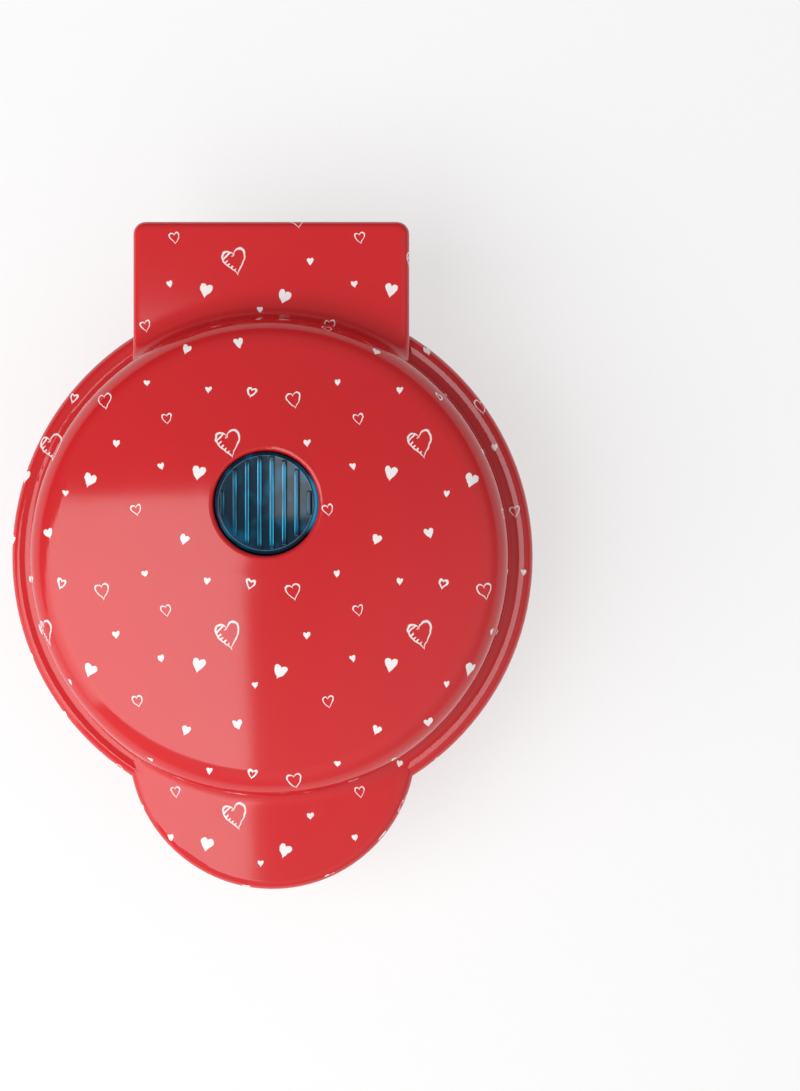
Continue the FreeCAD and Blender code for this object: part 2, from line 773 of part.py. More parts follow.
def tilt_to_lens(sketch):
    """Turns a sketch so that its upright axis runs from the crown's centre through the lens."""
    turned = FreeCAD.Rotation(Vector(0, 0, -1), number(lens_tilt))
    sketch.AttachmentOffset = FreeCAD.Placement(Vector(0, number(lens_axis_z), 0), turned)
    bind(sketch, "AttachmentOffset.Base.y", lens_axis_z)
    bind(sketch, "AttachmentOffset.Rotation.Angle", lens_tilt)


def make_frame(label, rim, up, screws, shank, head, width, with_grip):
    """The flat inner frame round a cooking plate, let into a shell's rim."""
    body = new_body(label.title().replace("_", ""))
    back = rim + up * s.frame_wall
    level = rim if up > 0 else back
    disc = sketch_on(body, "XY_Plane", "Disc", level)
    circle(disc, 0, 0, frame_radius)
    pad(body, disc, s.frame_wall)
    tail = sketch_on(body, "XY_Plane", "Tail", level)
    rectangle(tail, -width, hood_root, width, frame_back)
    pad(body, tail, s.frame_wall)
    if with_grip:
        cover = sketch_on(body, "XY_Plane", "GripCover", level)
        circle(cover, 0, -grip_centre, s.grip_radius - s.shell_wall - s.fit_gap)
        pad(body, cover, s.frame_wall)
    back_cut = sketch_on(body, "XY_Plane", "BackCut", level)
    rectangle(back_cut, -width, frame_back, width, frame_radius + s.cut_past)
    pocket(body, back_cut, s.frame_wall, upwards=True)
    opening = sketch_on(body, "XY_Plane", "Opening", level)
    circle(opening, 0, 0, frame_opening)
    pocket(body, opening, s.frame_wall, upwards=True)
    lip = sketch_on(body, "XY_Plane", "Lip", back if up > 0 else back - s.frame_lip)
    circle(lip, 0, 0, lip_inner)
    circle(lip, 0, 0, lip_outer)
    pad(body, lip, s.frame_lip)
    holes(body, "ScrewHoles", screws, shank, rim, s.frame_wall + s.frame_lip, up > 0)
    holes(body, "HeadHoles", screws, head + s.fit_gap, rim, s.screw_sink, up > 0)
    holes(body, "PlateScrewHoles", plate_screws, s.small_shank, back, s.frame_lip, up > 0)
    return keep(body, label)


def make_lower_housing():
    """The base's shell: bowl, rim, lower grip and the tower that carries the hinge."""
    body = new_body("LowerHousing")
    tower = sketch_on(body, "XY_Plane", "Tower", s.floor_height)
    rounded_plan(tower, tower_half, hood_root, tower_back, s.hood_corner)
    pad(body, tower, base_rim - s.floor_height)
    fillet(body, s.hood_round, is_tower_edge, "TowerEdges")
    for side, name in ((1, "RightKnuckle"), (-1, "LeftKnuckle")):
        make_knuckle(body, name, side)
    make_low_grip(body)
    bowl = sketch_on(body, "XZ_Plane", "Bowl")
    shoulder = s.floor_height + bowl_shoulder
    outline(bowl, [
        (0, base_rim),
        *rim_corners(base_rim, -1),
        (dome_radius, shoulder),
        (dome_radius - bowl_shoulder, s.floor_height, -bowl_shoulder),
        (0, s.floor_height),
    ])
    revolve(body, bowl)
    inside = sketch_on(body, "XZ_Plane", "BowlInside")
    outline(inside, [
        *inner_rim_corners(base_rim, -1, s.cut_past),
        (dome_radius - s.shell_wall, shoulder),
        (dome_radius - bowl_shoulder, base_floor, s.shell_wall - bowl_shoulder),
        (0, base_floor),
    ])
    groove(body, inside)
    half = tower_half - s.shell_wall
    room = sketch_on(body, "XY_Plane", "TowerRoom", base_floor)
    rectangle(room, -half, hood_root, half, tower_front)
    pocket(body, room, base_rim - base_floor + s.cut_past, upwards=True)
    channel = sketch_on(body, "XY_Plane", "WireChannel", base_floor)
    rectangle(channel, -s.channel_half, hood_root, s.channel_half, tower_back - s.shell_wall)
    pocket(body, channel, base_rim - base_floor + s.cut_past, upwards=True)
    inlet = sketch_on(body, "XZ_Plane", "Inlet", -tower_back - s.cut_past)
    circle(inlet, 0, s.gland_height, s.gland_radius)
    pocket(body, inlet, s.shell_wall + s.cut_past * 1.5, upwards=True)
    service = sketch_on(body, "XY_Plane", "ServiceOpening", s.floor_height)
    circle(service, 0, 0, base_plate_radius - s.cover_lap)
    pocket(body, service, s.shell_wall, upwards=True)
    posts(body, "CoverPosts", cover_screws, s.screw_boss, s.floor_height, base_floor + s.cover_boss_rise)
    cover_bite = s.frame_screw_length - s.base_plate_wall
    holes(body, "CoverPilots", cover_screws, s.screw_shank, s.floor_height, cover_bite, True)
    post_foot = base_rim - s.flange_rise + s.shell_wall / 2
    posts(body, "FrontPosts", base_front_screws, s.screw_boss, post_foot, base_lip_back)
    posts(body, "BackPosts", back_screws, s.screw_boss, base_floor - s.shell_wall / 2, base_lip_back)
    holes(body, "Pilots", base_frame_screws, s.small_shank, base_rim - s.screw_sink,
          s.frame_screw_length, False)
    holes(body, "BackFootHoles", back_feet, s.foot_spigot, s.floor_height, s.shell_wall, True)
    return keep(body, "lower_housing")


def is_tower_edge(edge):
    return near(edge.BoundBox.ZMax, s.floor_height) and not near(edge.BoundBox.YMax, hood_root)


def make_knuckle(body, name, side):
    """One hinge knuckle on its column, on the right (side 1) or the left (side -1)."""
    profile = sketch_on(body, "YZ_Plane", name, s.knuckle_inner if side > 0 else -tower_half)
    outline(profile, [
        (tower_front, s.parting_height - s.knuckle_radius),
        (tower_back, s.parting_height - s.knuckle_radius),
        (tower_back, axis_z - s.knuckle_radius),
        (axis_y, axis_z - s.knuckle_radius),
        (axis_y + s.knuckle_radius, axis_z, s.knuckle_radius),
        (axis_y, axis_z + s.knuckle_radius, s.knuckle_radius),
        (tower_front, axis_z + s.knuckle_radius),
    ])
    pad(body, profile, tower_half - s.knuckle_inner)
    inward = side > 0
    cross_bore(body, name + "Bore", axis_y, axis_z, s.pin_radius + s.run_gap, side * tower_half,
               s.pin_reach + s.fit_gap, inward)


def make_low_grip(body):
    """The solid lower grip, set back a little under the lid's grip."""
    top = s.parting_height - s.low_grip_drop
    bottom = top - s.low_grip_rise
    reach = s.grip_radius - s.low_grip_setback
    edge = s.grip_round
    profile = sketch_on(body, "XZ_Plane", "LowGrip", grip_centre)
    outline(profile, [
        (0, bottom),
        (reach - edge, bottom),
        (reach, bottom + edge, edge),
        (reach, top - edge),
        (reach - edge, top, edge),
        (0, top),
    ])
    revolve(body, profile)


# A heart is a square on its corner with a round lobe on each upper side. Moved forwards by this
# share of the square's side, its tip and lobes reach equally far from the plate's axis.
HEART_SHIFT = (math.sqrt(2) - 1) / (2 * (math.sqrt(2) - 1 + math.sqrt(0.5)))


def make_cooking_plate():
    """The cast lower plate: flange, heart-shaped cavity with square studs, groove for the
    heating element and the posts behind."""
    body = new_body("LowerPlate")
    flange = sketch_on(body, "XY_Plane", "Flange", base_frame_back)
    circle(flange, 0, 0, plate_radius)
    pad(body, flange, plate_face - base_frame_back)
    block = sketch_on(body, "XZ_Plane", "Block")
    outline(block, [
        (0, plate_back),
        (plate_body - s.plate_bevel, plate_back),
        (plate_body, plate_back + s.plate_bevel),
        (plate_body, base_frame_back),
        (0, base_frame_back),
    ])
    revolve(body, block)
    heart = sketch_on(body, "XY_Plane", "Heart", plate_face)
    reach = plate_body - s.heart_margin
    side = reach / (HEART_SHIFT + math.sqrt(0.5))
    half = side / root(2)
    lobe = side / 2
    low = -side * HEART_SHIFT
    outline(heart, [
        (0, low - half),
        (half, low),
        (half, half + low, lobe),
        (0, half + low, lobe),
        (-half, half + low, lobe),
        (-half, low, lobe),
    ])
    pocket(body, heart, s.cavity_depth)
    fillet(body, s.cavity_round, is_cavity_mouth, "CavityMouth")
    make_studs(body)
    ring = sketch_on(body, "XZ_Plane", "ElementGroove")
    circle(ring, element_circle, element_z, s.element_radius + s.run_gap)
    groove(body, ring)
    posts(body, "Posts", post_places, s.post_radius, reflector_face, plate_back)
    holes(body, "PostPilots", post_places, s.small_shank, reflector_face, s.small_screw_bite, True)
    holes(body, "FlangePilots", plate_screws, s.small_shank, base_frame_back, s.small_screw_bite, True)
    backs = thermostat_screws + fuse_screw
    holes(body, "BackPilots", backs, s.small_shank, plate_back, s.small_screw_bite, True)
    return keep(body, "lower_cooking_plate")


def is_cavity_mouth(edge):
    box = edge.BoundBox
    inside = max(box.XMax, -box.XMin, box.YMax, -box.YMin) < number(plate_body)
    return near(box.ZMin, plate_face) and near(box.ZMax, plate_face) and inside


def make_studs(body):
    """Rows of tapered square studs that press the grid into the waffle."""
    floor = plate_face - s.cavity_depth
    first = -2.5 * s.stud_pitch - s.stud_side / 2
    square = sketch_on(body, "XY_Plane", "Stud", floor)
    rectangle(square, first, first, first + s.stud_side, first + s.stud_side)
    stud = pad(body, square, s.stud_height, taper=s.stud_taper)
    grid = body.newObject("PartDesign::MultiTransform", "Studs")
    grid.Originals = [stud]
    rows = []
    for axis in ("H_Axis", "V_Axis"):
        row = body.newObject("PartDesign::LinearPattern", "Row" + axis[0])
        row.Direction = (square, [axis])
        bind(row, "Length", 5 * s.stud_pitch)
        row.Occurrences = 6
        rows.append(row)
    grid.Transformations = rows
    finish_feature(body, grid)
    trim = sketch_on(body, "XZ_Plane", "StudTrim")
    beyond = plate_body + 2 * s.stud_pitch
    rectangle(trim, plate_body, plate_back + s.plate_bevel, beyond, base_frame_back)
    groove(body, trim, must_cut=False)


def make_element():
    """The sheathed heating ring with its two legs turned away from the plate."""
    body = new_body("LowerElement")
    ring = sketch_on(body, "XZ_Plane", "Sheath")
    circle(ring, element_circle, element_z, s.element_radius)
    turn = sketch_turn(ring, 90 + half_gap)
    revolve(body, turn, 360 - s.element_gap_angle)
    posts(body, "Legs", leg_places, s.leg_radius, leg_end, element_z)
    return keep(body, "lower_heating_element")


def sketch_turn(sketch, angle):
    """Turns an upright sketch about the body's own axis."""
    turned = FreeCAD.Rotation(Vector(0, 1, 0), number(angle))
    sketch.AttachmentOffset = FreeCAD.Placement(Vector(0, 0, 0), turned)
    sketch.setExpression("AttachmentOffset.Base.z", None)
    sketch.setExpression("AttachmentOffset.Base.x", None)
    bind(sketch, "AttachmentOffset.Rotation.Angle", angle)
    return sketch


def make_element_ends():
    """Insulating beads on the element's legs."""
    body = new_body("LowerBeads")
    posts(body, "Beads", leg_places, s.bead_radius, leg_end - s.bead_length, leg_end)
    return keep(body, "lower_element_beads")


def make_terminal_pins():
    body = new_body("LowerPins")
    top = leg_end - s.bead_length
    posts(body, "Pins", leg_places, s.terminal_pin_radius, top - s.terminal_pin_length, top)
    return keep(body, "lower_element_pins")


def make_reflector():
    """A thin dish behind the element that sends its heat back to the plate."""
    body = new_body("LowerReflector")
    back = reflector_face - s.reflector_wall
    dish = sketch_on(body, "XZ_Plane", "Dish")
    outline(dish, [
        (s.reflector_opening, back),
        (reflector_radius, back),
        (reflector_radius, reflector_face + s.reflector_edge),
        (reflector_radius - s.reflector_wall, reflector_face + s.reflector_edge),
        (reflector_radius - s.reflector_wall, reflector_face),
        (s.reflector_opening, reflector_face),
    ])
    revolve(body, dish)
    holes(body, "PostHoles", post_places, s.small_shank, back, s.reflector_wall, True)
    holes(body, "LegHoles", leg_places, s.leg_radius + s.fit_gap, back, s.reflector_wall, True)
    return keep(body, "lower_reflector")


def make_thermostat():
    """The disc thermostat clamped to the back of the lower plate."""
    body = new_body("Thermostat")
    ears = sketch_on(body, "XY_Plane", "Ears", plate_back - s.thermostat_ear_wall)
    wide = s.thermostat_ear_width / 2
    rectangle(ears, -s.thermostat_ear, -wide, s.thermostat_ear, wide)
    pad(body, ears, s.thermostat_ear_wall)
    bottom = plate_back - s.thermostat_height
    posts(body, "Can", [(0, 0)], s.thermostat_radius, bottom, plate_back)
    blades = sketch_on(body, "XY_Plane", "Blades", bottom - s.blade_length)
    for side in (-1, 1):
        x = side * s.blade_place
        rectangle(blades, x - s.blade_wall / 2, -s.blade_width / 2, x + s.blade_wall / 2, s.blade_width / 2)
    pad(body, blades, s.blade_length)
    holes(body, "EarHoles", thermostat_screws, s.small_shank, plate_back - s.thermostat_ear_wall,
          s.thermostat_ear_wall, True)
    return keep(body, "thermostat")


fuse_z = plate_back - s.fuse_radius - s.run_gap


def make_fuse():
    body = new_body("ThermalFuse")
    can = sketch_on(body, "YZ_Plane", "Can", -s.fuse_length / 2)
    circle(can, -fuse_place, fuse_z, s.fuse_radius)
    pad(body, can, s.fuse_length)
    leads = sketch_on(body, "YZ_Plane", "Leads", -s.fuse_length)
    circle(leads, -fuse_place, fuse_z, s.wire_radius)
    pad(body, leads, s.fuse_length * 2)
    return keep(body, "thermal_fuse")


def make_fuse_clip():
    """A saddle that holds the fuse against the plate, screwed down at its one foot."""
    body = new_body("FuseClip")
    inner = s.fuse_radius
    outer = s.fuse_radius + s.fuse_clip_wall
    y = -fuse_place
    saddle = sketch_on(body, "YZ_Plane", "Saddle", -s.fuse_clip_width / 2)
    outline(saddle, [
        (y - s.fuse_clip_foot, plate_back - s.fuse_clip_wall),
        (y - outer, plate_back - s.fuse_clip_wall),
        (y - outer, fuse_z),
        (y, fuse_z - outer, outer),
        (y + outer, fuse_z, outer),
        (y + outer, plate_back),
        (y + inner, plate_back),
        (y + inner, fuse_z),
        (y, fuse_z - inner, -inner),
        (y - inner, fuse_z, -inner),
        (y - inner, plate_back),
        (y - s.fuse_clip_foot, plate_back),
    ])
    pad(body, saddle, s.fuse_clip_width)
    under_foot = plate_back - s.fuse_clip_wall
    holes(body, "ScrewHole", fuse_screw, s.small_shank, under_foot, s.fuse_clip_wall, True)
    return keep(body, "fuse_clip")


def make_base_plate():
    """The flat cover under the base, which carries the feet."""
    body = new_body("BasePlate")
    bottom = s.floor_height - s.base_plate_wall
    posts(body, "Disc", [(0, 0)], base_plate_radius, bottom, s.floor_height)
    holes(body, "FootHoles", front_feet, s.foot_spigot, bottom, s.base_plate_wall, True)
    holes(body, "ScrewHoles", cover_screws, s.screw_shank, bottom, s.base_plate_wall, True)
    return keep(body, "base_plate")


def make_foot(name, top, spigot):
    """A soft foot with the plug that holds it."""
    body = new_body(name)
    profile = sketch_on(body, "XZ_Plane", "Profile")
    outline(profile, [
        (0, 0),
        (s.foot_tip_radius, 0),
        (s.foot_radius, top),
        (s.foot_spigot, top),
        (s.foot_spigot, top + spigot),
        (0, top + spigot),
    ])
    revolve(body, profile)
    return body


def make_screw(name, head, head_height, shank, length):
    """A pan-head screw standing head up, its head's underside at the origin."""
    body = new_body(name)
    edge = head_height / 2
    profile = sketch_on(body, "XZ_Plane", "Profile")
    outline(profile, [
        (0, -length),
        (shank, -length),
        (shank, 0),
        (head, 0),
        (head, head_height - edge),
        (head - edge, head_height, edge),
        (0, head_height),
    ])
    revolve(body, profile)
    cross = sketch_on(body, "XY_Plane", "Cross", head_height)
    arm = head * 0.6
    wide = s.screw_cross / 2
    outline(cross, [
        (-arm, -wide), (-wide, -wide), (-wide, -arm), (wide, -arm), (wide, -wide), (arm, -wide),
        (arm, wide), (wide, wide), (wide, arm), (-wide, arm), (-wide, wide), (-arm, wide),
    ])
    pocket(body, cross, s.screw_recess * head_height / s.screw_head_height)
    return body


def at_height(places, z):
    return [(x, y, z) for x, y in places]


def make_screws():
    large = s.screw_head, s.screw_head_height, s.screw_shank
    frame_screw = make_screw("FrameScrew", *large, s.frame_screw_length)
    small = s.small_head, s.small_head_height, s.small_shank
    plate_screw = make_screw("PlateScrew", *small, s.frame_lip + s.small_screw_bite)
    reflector_screw = make_screw("ReflectorScrew", *small, s.reflector_wall + s.small_screw_bite)
    ear_screw = make_screw("EarScrew", *small, s.thermostat_ear_wall + s.small_screw_bite)
    clip_screw = make_screw("ClipScrew", *small, s.fuse_clip_wall + s.small_screw_bite)
    lens_stack = s.retainer_wall + s.lens_gasket_wall + s.lens_flange_wall
    retainer_screw = make_screw("RetainerScrew", *small, lens_stack + s.small_screw_bite)
    base_seat = base_rim - s.screw_sink
    lid_seat = lid_rim + s.screw_sink
    thin_screw = make_screw("ThinScrew", *small, s.frame_screw_length)
    copies(thin_screw, "lower_frame_screws", at_height(base_frame_screws, base_seat))
    copies(frame_screw, "upper_frame_screws", at_height(lid_frame_screws, lid_seat), flip=True)
    cover_seat = s.floor_height - s.base_plate_wall
    copies(frame_screw, "base_plate_screws", at_height(cover_screws, cover_seat), flip=True)
    low = copies(plate_screw, "lower_plate_screws", at_height(plate_screws, base_lip_back), flip=True)
    mirrored(low, "upper_plate_screws")
    reflector_seat = reflector_face - s.reflector_wall
    seats = at_height(post_places, reflector_seat)
    low = copies(reflector_screw, "lower_reflector_screws", seats, flip=True)
    mirrored(low, "upper_reflector_screws")
    ear_seat = plate_back - s.thermostat_ear_wall
    copies(reflector_screw, "terminal_screws", at_height(terminal_screws, base_floor + s.terminal_height))
    copies(ear_screw, "thermostat_screws", at_height(thermostat_screws, ear_seat), flip=True)
    copies(clip_screw, "fuse_clip_screw", at_height(fuse_screw, plate_back - s.fuse_clip_wall), flip=True)
    copies(retainer_screw, "lens_retainer_screws", at_height(retainer_screws, lamp_seat), flip=True)


def make_pin(label, side):
    """One hinge pin: its head let into the hood's cheek, its shank in the base's knuckle."""
    body = new_body(label.title().replace("_", ""))
    length = s.cheek_wall + s.swing_gap + s.pin_reach
    start = s.hood_half - length if side > 0 else -s.hood_half
    shank = sketch_on(body, "YZ_Plane", "Shank", start)
    circle(shank, axis_y, axis_z, s.pin_radius)
    pad(body, shank, length)
    head_start = s.hood_half - s.pin_head_height if side > 0 else -s.hood_half
    head = sketch_on(body, "YZ_Plane", "Head", head_start)
    circle(head, axis_y, axis_z, s.pin_head_radius)
    pad(body, head, s.pin_head_height)
    return keep(body, label)


def make_lens():
    """The ribbed indicator lens: a shallow cup with a flange under the dome's collar."""
    body = new_body("IndicatorLens")
    face = lid_top - s.lens_sink
    flange_top = lens_seat - s.lens_gasket_wall
    flange_low = flange_top - s.lens_flange_wall
    inner = s.lens_radius - s.lens_side
    cup = sketch_on(body, "XZ_Plane", "Cup", -s.lens_place)
    outline(cup, [
        (0, face - s.lens_skin),
        (inner, face - s.lens_skin),
        (inner, flange_low),
        (s.lens_flange, flange_low),
        (s.lens_flange, flange_top),
        (s.lens_radius, flange_top),
        (s.lens_radius, face - s.lens_bevel),
        (s.lens_radius - s.lens_bevel, face),
        (0, face),
    ])
    revolve(body, cup)
    bars = sketch_on(body, "XY_Plane", "Ribs", face)
    for index in range(8):
        middle = (index - 3.5) * s.rib_pitch
        far = abs(index - 3.5) * s.rib_pitch + s.rib_width / 2
        reach = root(s.rib_circle * s.rib_circle - far * far)
        rectangle(bars, middle - s.rib_width / 2, s.lens_place - reach, middle + s.rib_width / 2,
                  s.lens_place + reach)
    pad(body, bars, s.rib_height)
    fillet(body, s.rib_round, lambda edge: near(edge.BoundBox.ZMin, face + s.rib_height), "RibEdges")
    return keep(body, "indicator_lens")


def make_ring(name, label, x, y, inner, outer, bottom, top):
    """A flat ring."""
    body = new_body(name)
    plan = sketch_on(body, "XY_Plane", "Plan", bottom)
    circle(plan, x, y, inner)
    circle(plan, x, y, outer)
    pad(body, plan, top - bottom)
    return keep(body, label)


def make_retainer():
    """The plate that holds the lens up against its seat and carries the lamp."""
    body = new_body("LensRetainer")
    top = lamp_seat + s.retainer_wall
    posts(body, "Disc", [(0, s.lens_place)], s.lens_collar, lamp_seat, top)
    half = s.lamp_bar_width / 2
    for side, name in ((1, "BackWindow"), (-1, "FrontWindow")):
        window = sketch_on(body, "XY_Plane", name, lamp_seat)
        edge = root(s.retainer_inner * s.retainer_inner - half * half)
        near_side = s.lens_place + side * half
        far_side = s.lens_place + side * s.retainer_inner
        outline(window, [
            (side * edge, near_side),
            (0, far_side, s.retainer_inner),
            (-side * edge, near_side, s.retainer_inner),
        ])
        pocket(body, window, s.retainer_wall, upwards=True)
    spacers = s.small_head
    posts(body, "Spacers", retainer_screws, spacers, top, lens_seat)
    holes(body, "ScrewHoles", retainer_screws, s.small_shank, lamp_seat, s.lens_seat_drop, True)
    return keep(body, "lens_retainer")


def make_lamp():
    """The small neon lamp lying on the retainer's bar, under the lens."""
    body = new_body("IndicatorLamp")
    z = lamp_seat + s.retainer_wall + s.lamp_radius
    half = s.lamp_length / 2
    glass = sketch_on(body, "YZ_Plane", "Glass", -half)
    circle(glass, s.lens_place, z, s.lamp_radius)
    pad(body, glass, s.lamp_length)

    def is_tip(edge):
        return near(edge.BoundBox.XMax, half) and near(edge.BoundBox.XMin, half)

    fillet(body, s.lamp_tip, is_tip, "Tip")
    return keep(body, "indicator_lamp")


def make_gland():
    """The soft bush in the base's back wall where the mains lead comes in."""
    body = new_body("CordGland")
    inner_face = tower_back - s.shell_wall
    steps = [
        ("Neck", inner_face, tower_back, s.gland_radius),
        ("Flange", tower_back, tower_back + s.gland_flange_wall, s.gland_flange),
        ("Collar", inner_face - s.gland_flange_wall, inner_face, s.gland_collar),
    ]
    for name, start, end, radius in steps:
        face = sketch_on(body, "XZ_Plane", name, -end)
        circle(face, 0, s.gland_height, radius)
        pad(body, face, end - start)
    bore = sketch_on(body, "XZ_Plane", "Bore", -tower_back - s.gland_flange_wall)
    circle(bore, 0, s.gland_height, s.gland_bore)
    pocket(body, bore, s.shell_wall + s.gland_flange_wall * 2, upwards=True)
    return keep(body, "cord_gland")


def make_terminal_block():
    body = new_body("TerminalBlock")
    half = s.terminal_length / 2
    front = terminal_place - s.terminal_depth / 2
    back = terminal_place + s.terminal_depth / 2
    block = sketch_on(body, "XY_Plane", "Block", base_floor)
    rectangle(block, -half, front, half, back)
    pad(body, block, s.terminal_height)
    ways = sketch_on(body, "XZ_Plane", "Ways", -back)
    for way in (-1, 0, 1):
        circle(ways, way * s.terminal_pitch, base_floor + s.terminal_height / 2, s.terminal_bore)
    pocket(body, ways, s.terminal_depth, upwards=True)
    holes(body, "ScrewHoles", terminal_screws, s.small_shank, base_floor + s.terminal_height,
          s.reflector_wall + s.small_screw_bite, False)
    return keep(body, "terminal_block")


def pipe(points, radius):
    """A round lead along a row of points, with its bends eased."""
    path = [Vector(*(number(value) for value in point)) for point in points]
    edges = []
    start = path[0]
    for before, corner, after in zip(path, path[1:], path[2:]):
        ease = min(number(s.lead_bend), (corner - before).Length * 0.45, (after - corner).Length * 0.45)
        bend_start = corner + (before - corner).normalize() * ease
        bend_end = corner + (after - corner).normalize() * ease
        curve = Part.BezierCurve()
        curve.setPoles([bend_start, corner, bend_end])
        edges += [Part.makeLine(start, bend_start), curve.toShape()]
        start = bend_end
    edges.append(Part.makeLine(start, path[-1]))
    profile = Part.Wire([Part.makeCircle(number(radius), path[0], path[1] - path[0])])
    return Part.Wire(edges).makePipeShell([profile], True, False)


def around(radius, angle, z):
    x, y = polar(radius, angle)
    return x, y, z


def make_leads(label, routes):
    """A group of leads, each a row of points and a radius."""
    leads = doc.addObject("Part::Feature", label)
    leads.Shape = Part.makeCompound([pipe(points, radius) for points, radius in routes])
    return keep(leads, label)


def base_leads():
    """The sleeve from the hinge to the terminal block, and the leads that join the terminal
    block, thermostat, fuse and lower element."""
    out = s.sleeve_offset
    drop_y = tower_front + s.sleeve_radius * 0.7
    sleeve_end = s.gland_height + s.sleeve_radius * 2
    block_back = terminal_place + s.terminal_depth / 2
    block_front = terminal_place - s.terminal_depth / 2
    way_z = base_floor + s.terminal_height / 2
    way = s.terminal_pitch
    pin_x, pin_y = leg_places[0]
    pin_z = leg_end - s.bead_length - s.terminal_pin_length / 2
    touch = s.terminal_pin_radius
    blade_z = plate_back - s.thermostat_height - s.blade_length / 2
    blade_y = s.blade_width / 2
    fuse_lead = s.fuse_length - s.wire_radius * 2
    apart = s.wire_radius * 1.15
    sleeve = [
        (0, axis_y, axis_z),
        (-out, axis_y, axis_z),
        (-out, drop_y, axis_z - 1.8),
        (-out, drop_y, sleeve_end),
    ]
    to_left_way = [
        (-out - apart, drop_y, sleeve_end),
        (-out - apart, drop_y, sleeve_end - 6),
        (-way, block_back + 2, way_z),
        (-way, block_back - 1, way_z),
    ]
    to_middle_way = [
        (apart - out, drop_y, sleeve_end),
        (apart - out, drop_y, sleeve_end - 5),
        (0, block_back + 2, way_z),
        (0, block_back - 1, way_z),
    ]
    to_left_pin = [
        (-way, block_front + 1, way_z),
        (-way, block_front - 4.5, way_z),
        (-pin_x, pin_y + 5, pin_z),
        (-pin_x, pin_y + touch, pin_z),
    ]
    to_thermostat = [
        (way, block_front + 1, way_z),
        (way, pin_y - 1, way_z),
        (s.blade_place, blade_y + 6, blade_z),
        (s.blade_place, blade_y, blade_z),
    ]
    beside_can = s.thermostat_radius + s.wire_radius + 0.6
    to_fuse = [
        (-s.blade_place, -blade_y, blade_z),
        (-s.blade_place, -blade_y - 3, blade_z),
        (-s.blade_place, -beside_can, blade_z + 1),
        (-s.blade_place, -beside_can, fuse_z - 1),
        (-fuse_lead, -fuse_place + 4, fuse_z),
        (-fuse_lead, -fuse_place + s.wire_radius, fuse_z),
    ]
    to_right_pin = [
        (fuse_lead, -fuse_place + s.wire_radius, fuse_z),
        (fuse_lead, -fuse_place + 4, fuse_z),
        (s.blade_place, -beside_can, fuse_z - 1),
        (s.blade_place, -beside_can, blade_z),
        (pin_x + 2, 0, pin_z),
        (pin_x + 6, pin_y - 6, pin_z),
        (pin_x + 4, pin_y, pin_z),
        (pin_x + touch, pin_y, pin_z),
    ]
    routes = [(sleeve, s.sleeve_radius)]
    for route in (to_left_way, to_middle_way, to_left_pin, to_thermostat, to_fuse, to_right_pin):
        routes.append((route, s.wire_radius))
    return make_leads("base_leads", routes)


def lid_leads():
    """The sleeve from the hinge into the lid, and the leads to the upper element and lamp."""
    out = s.sleeve_offset
    sleeve_z = hood_top - s.shell_wall - s.sleeve_radius - 0.6
    sleeve_end = frame_back + 0.5
    turn_over = 2 * s.parting_height
    pin_x, pin_y = leg_places[0]
    pin_z = turn_over - (leg_end - s.bead_length - s.terminal_pin_length / 2)
    touch = s.terminal_pin_radius
    lamp_end = s.lamp_length / 2
    lamp_z = lamp_seat + s.retainer_wall + s.lamp_radius
    window_y = s.lens_place + s.retainer_inner * 0.45
    sleeve = [
        (0, axis_y, axis_z),
        (out, axis_y, axis_z),
        (out, axis_y - 7, sleeve_z),
        (out, sleeve_end, sleeve_z),
    ]
    throat = dome_radius - s.shell_wall - 1
    beside = (throat + reflector_radius) / 2 - 0.1

    def climb(angle, across, up):
        """Past the plate's bevel and the reflector's edge, up into the dome."""
        reflector_z = turn_over - reflector_face
        return [
            (out + across, sleeve_end, sleeve_z + up),
            (out + across, sleeve_end - 1.5, sleeve_z + up),
            around(throat, angle, turn_over - plate_back - 1.85),
            around(beside, angle, turn_over - plate_back + 1.4),
            around(beside, angle, reflector_z - 0.8),
            around(reflector_radius, angle, reflector_z + 2.6),
            around(post_circle, angle, reflector_z + 4.6),
        ]

    step = s.wire_radius * 1.15
    under_lamp = lamp_seat - 2.5
    right_pin = climb(77, step, -step) + [(pin_x, pin_y + 4, pin_z), (pin_x, pin_y + touch, pin_z)]
    left_pin = climb(89, -step, -step) + [(-pin_x, pin_y + 5, pin_z), (-pin_x, pin_y + touch, pin_z)]
    right_lamp = climb(81, step, step) + [
        (lamp_end + 0.6, window_y, under_lamp),
        (lamp_end + 0.6, window_y, lamp_z),
        (lamp_end + 1.6, s.lens_place, lamp_z),
        (lamp_end, s.lens_place, lamp_z),
    ]
    left_lamp = climb(85, -step, step) + [
        (0, pin_y + 4, under_lamp - 0.5),
        (-lamp_end - 0.6, window_y, under_lamp),
        (-lamp_end - 0.6, window_y, lamp_z),
        (-lamp_end - 1.6, s.lens_place, lamp_z),
        (-lamp_end, s.lens_place, lamp_z),
    ]
    routes = [(sleeve, s.sleeve_radius)]
    for route in (right_pin, left_pin, right_lamp, left_lamp):
        routes.append((route, s.wire_radius))
    return make_leads("lid_leads", routes)


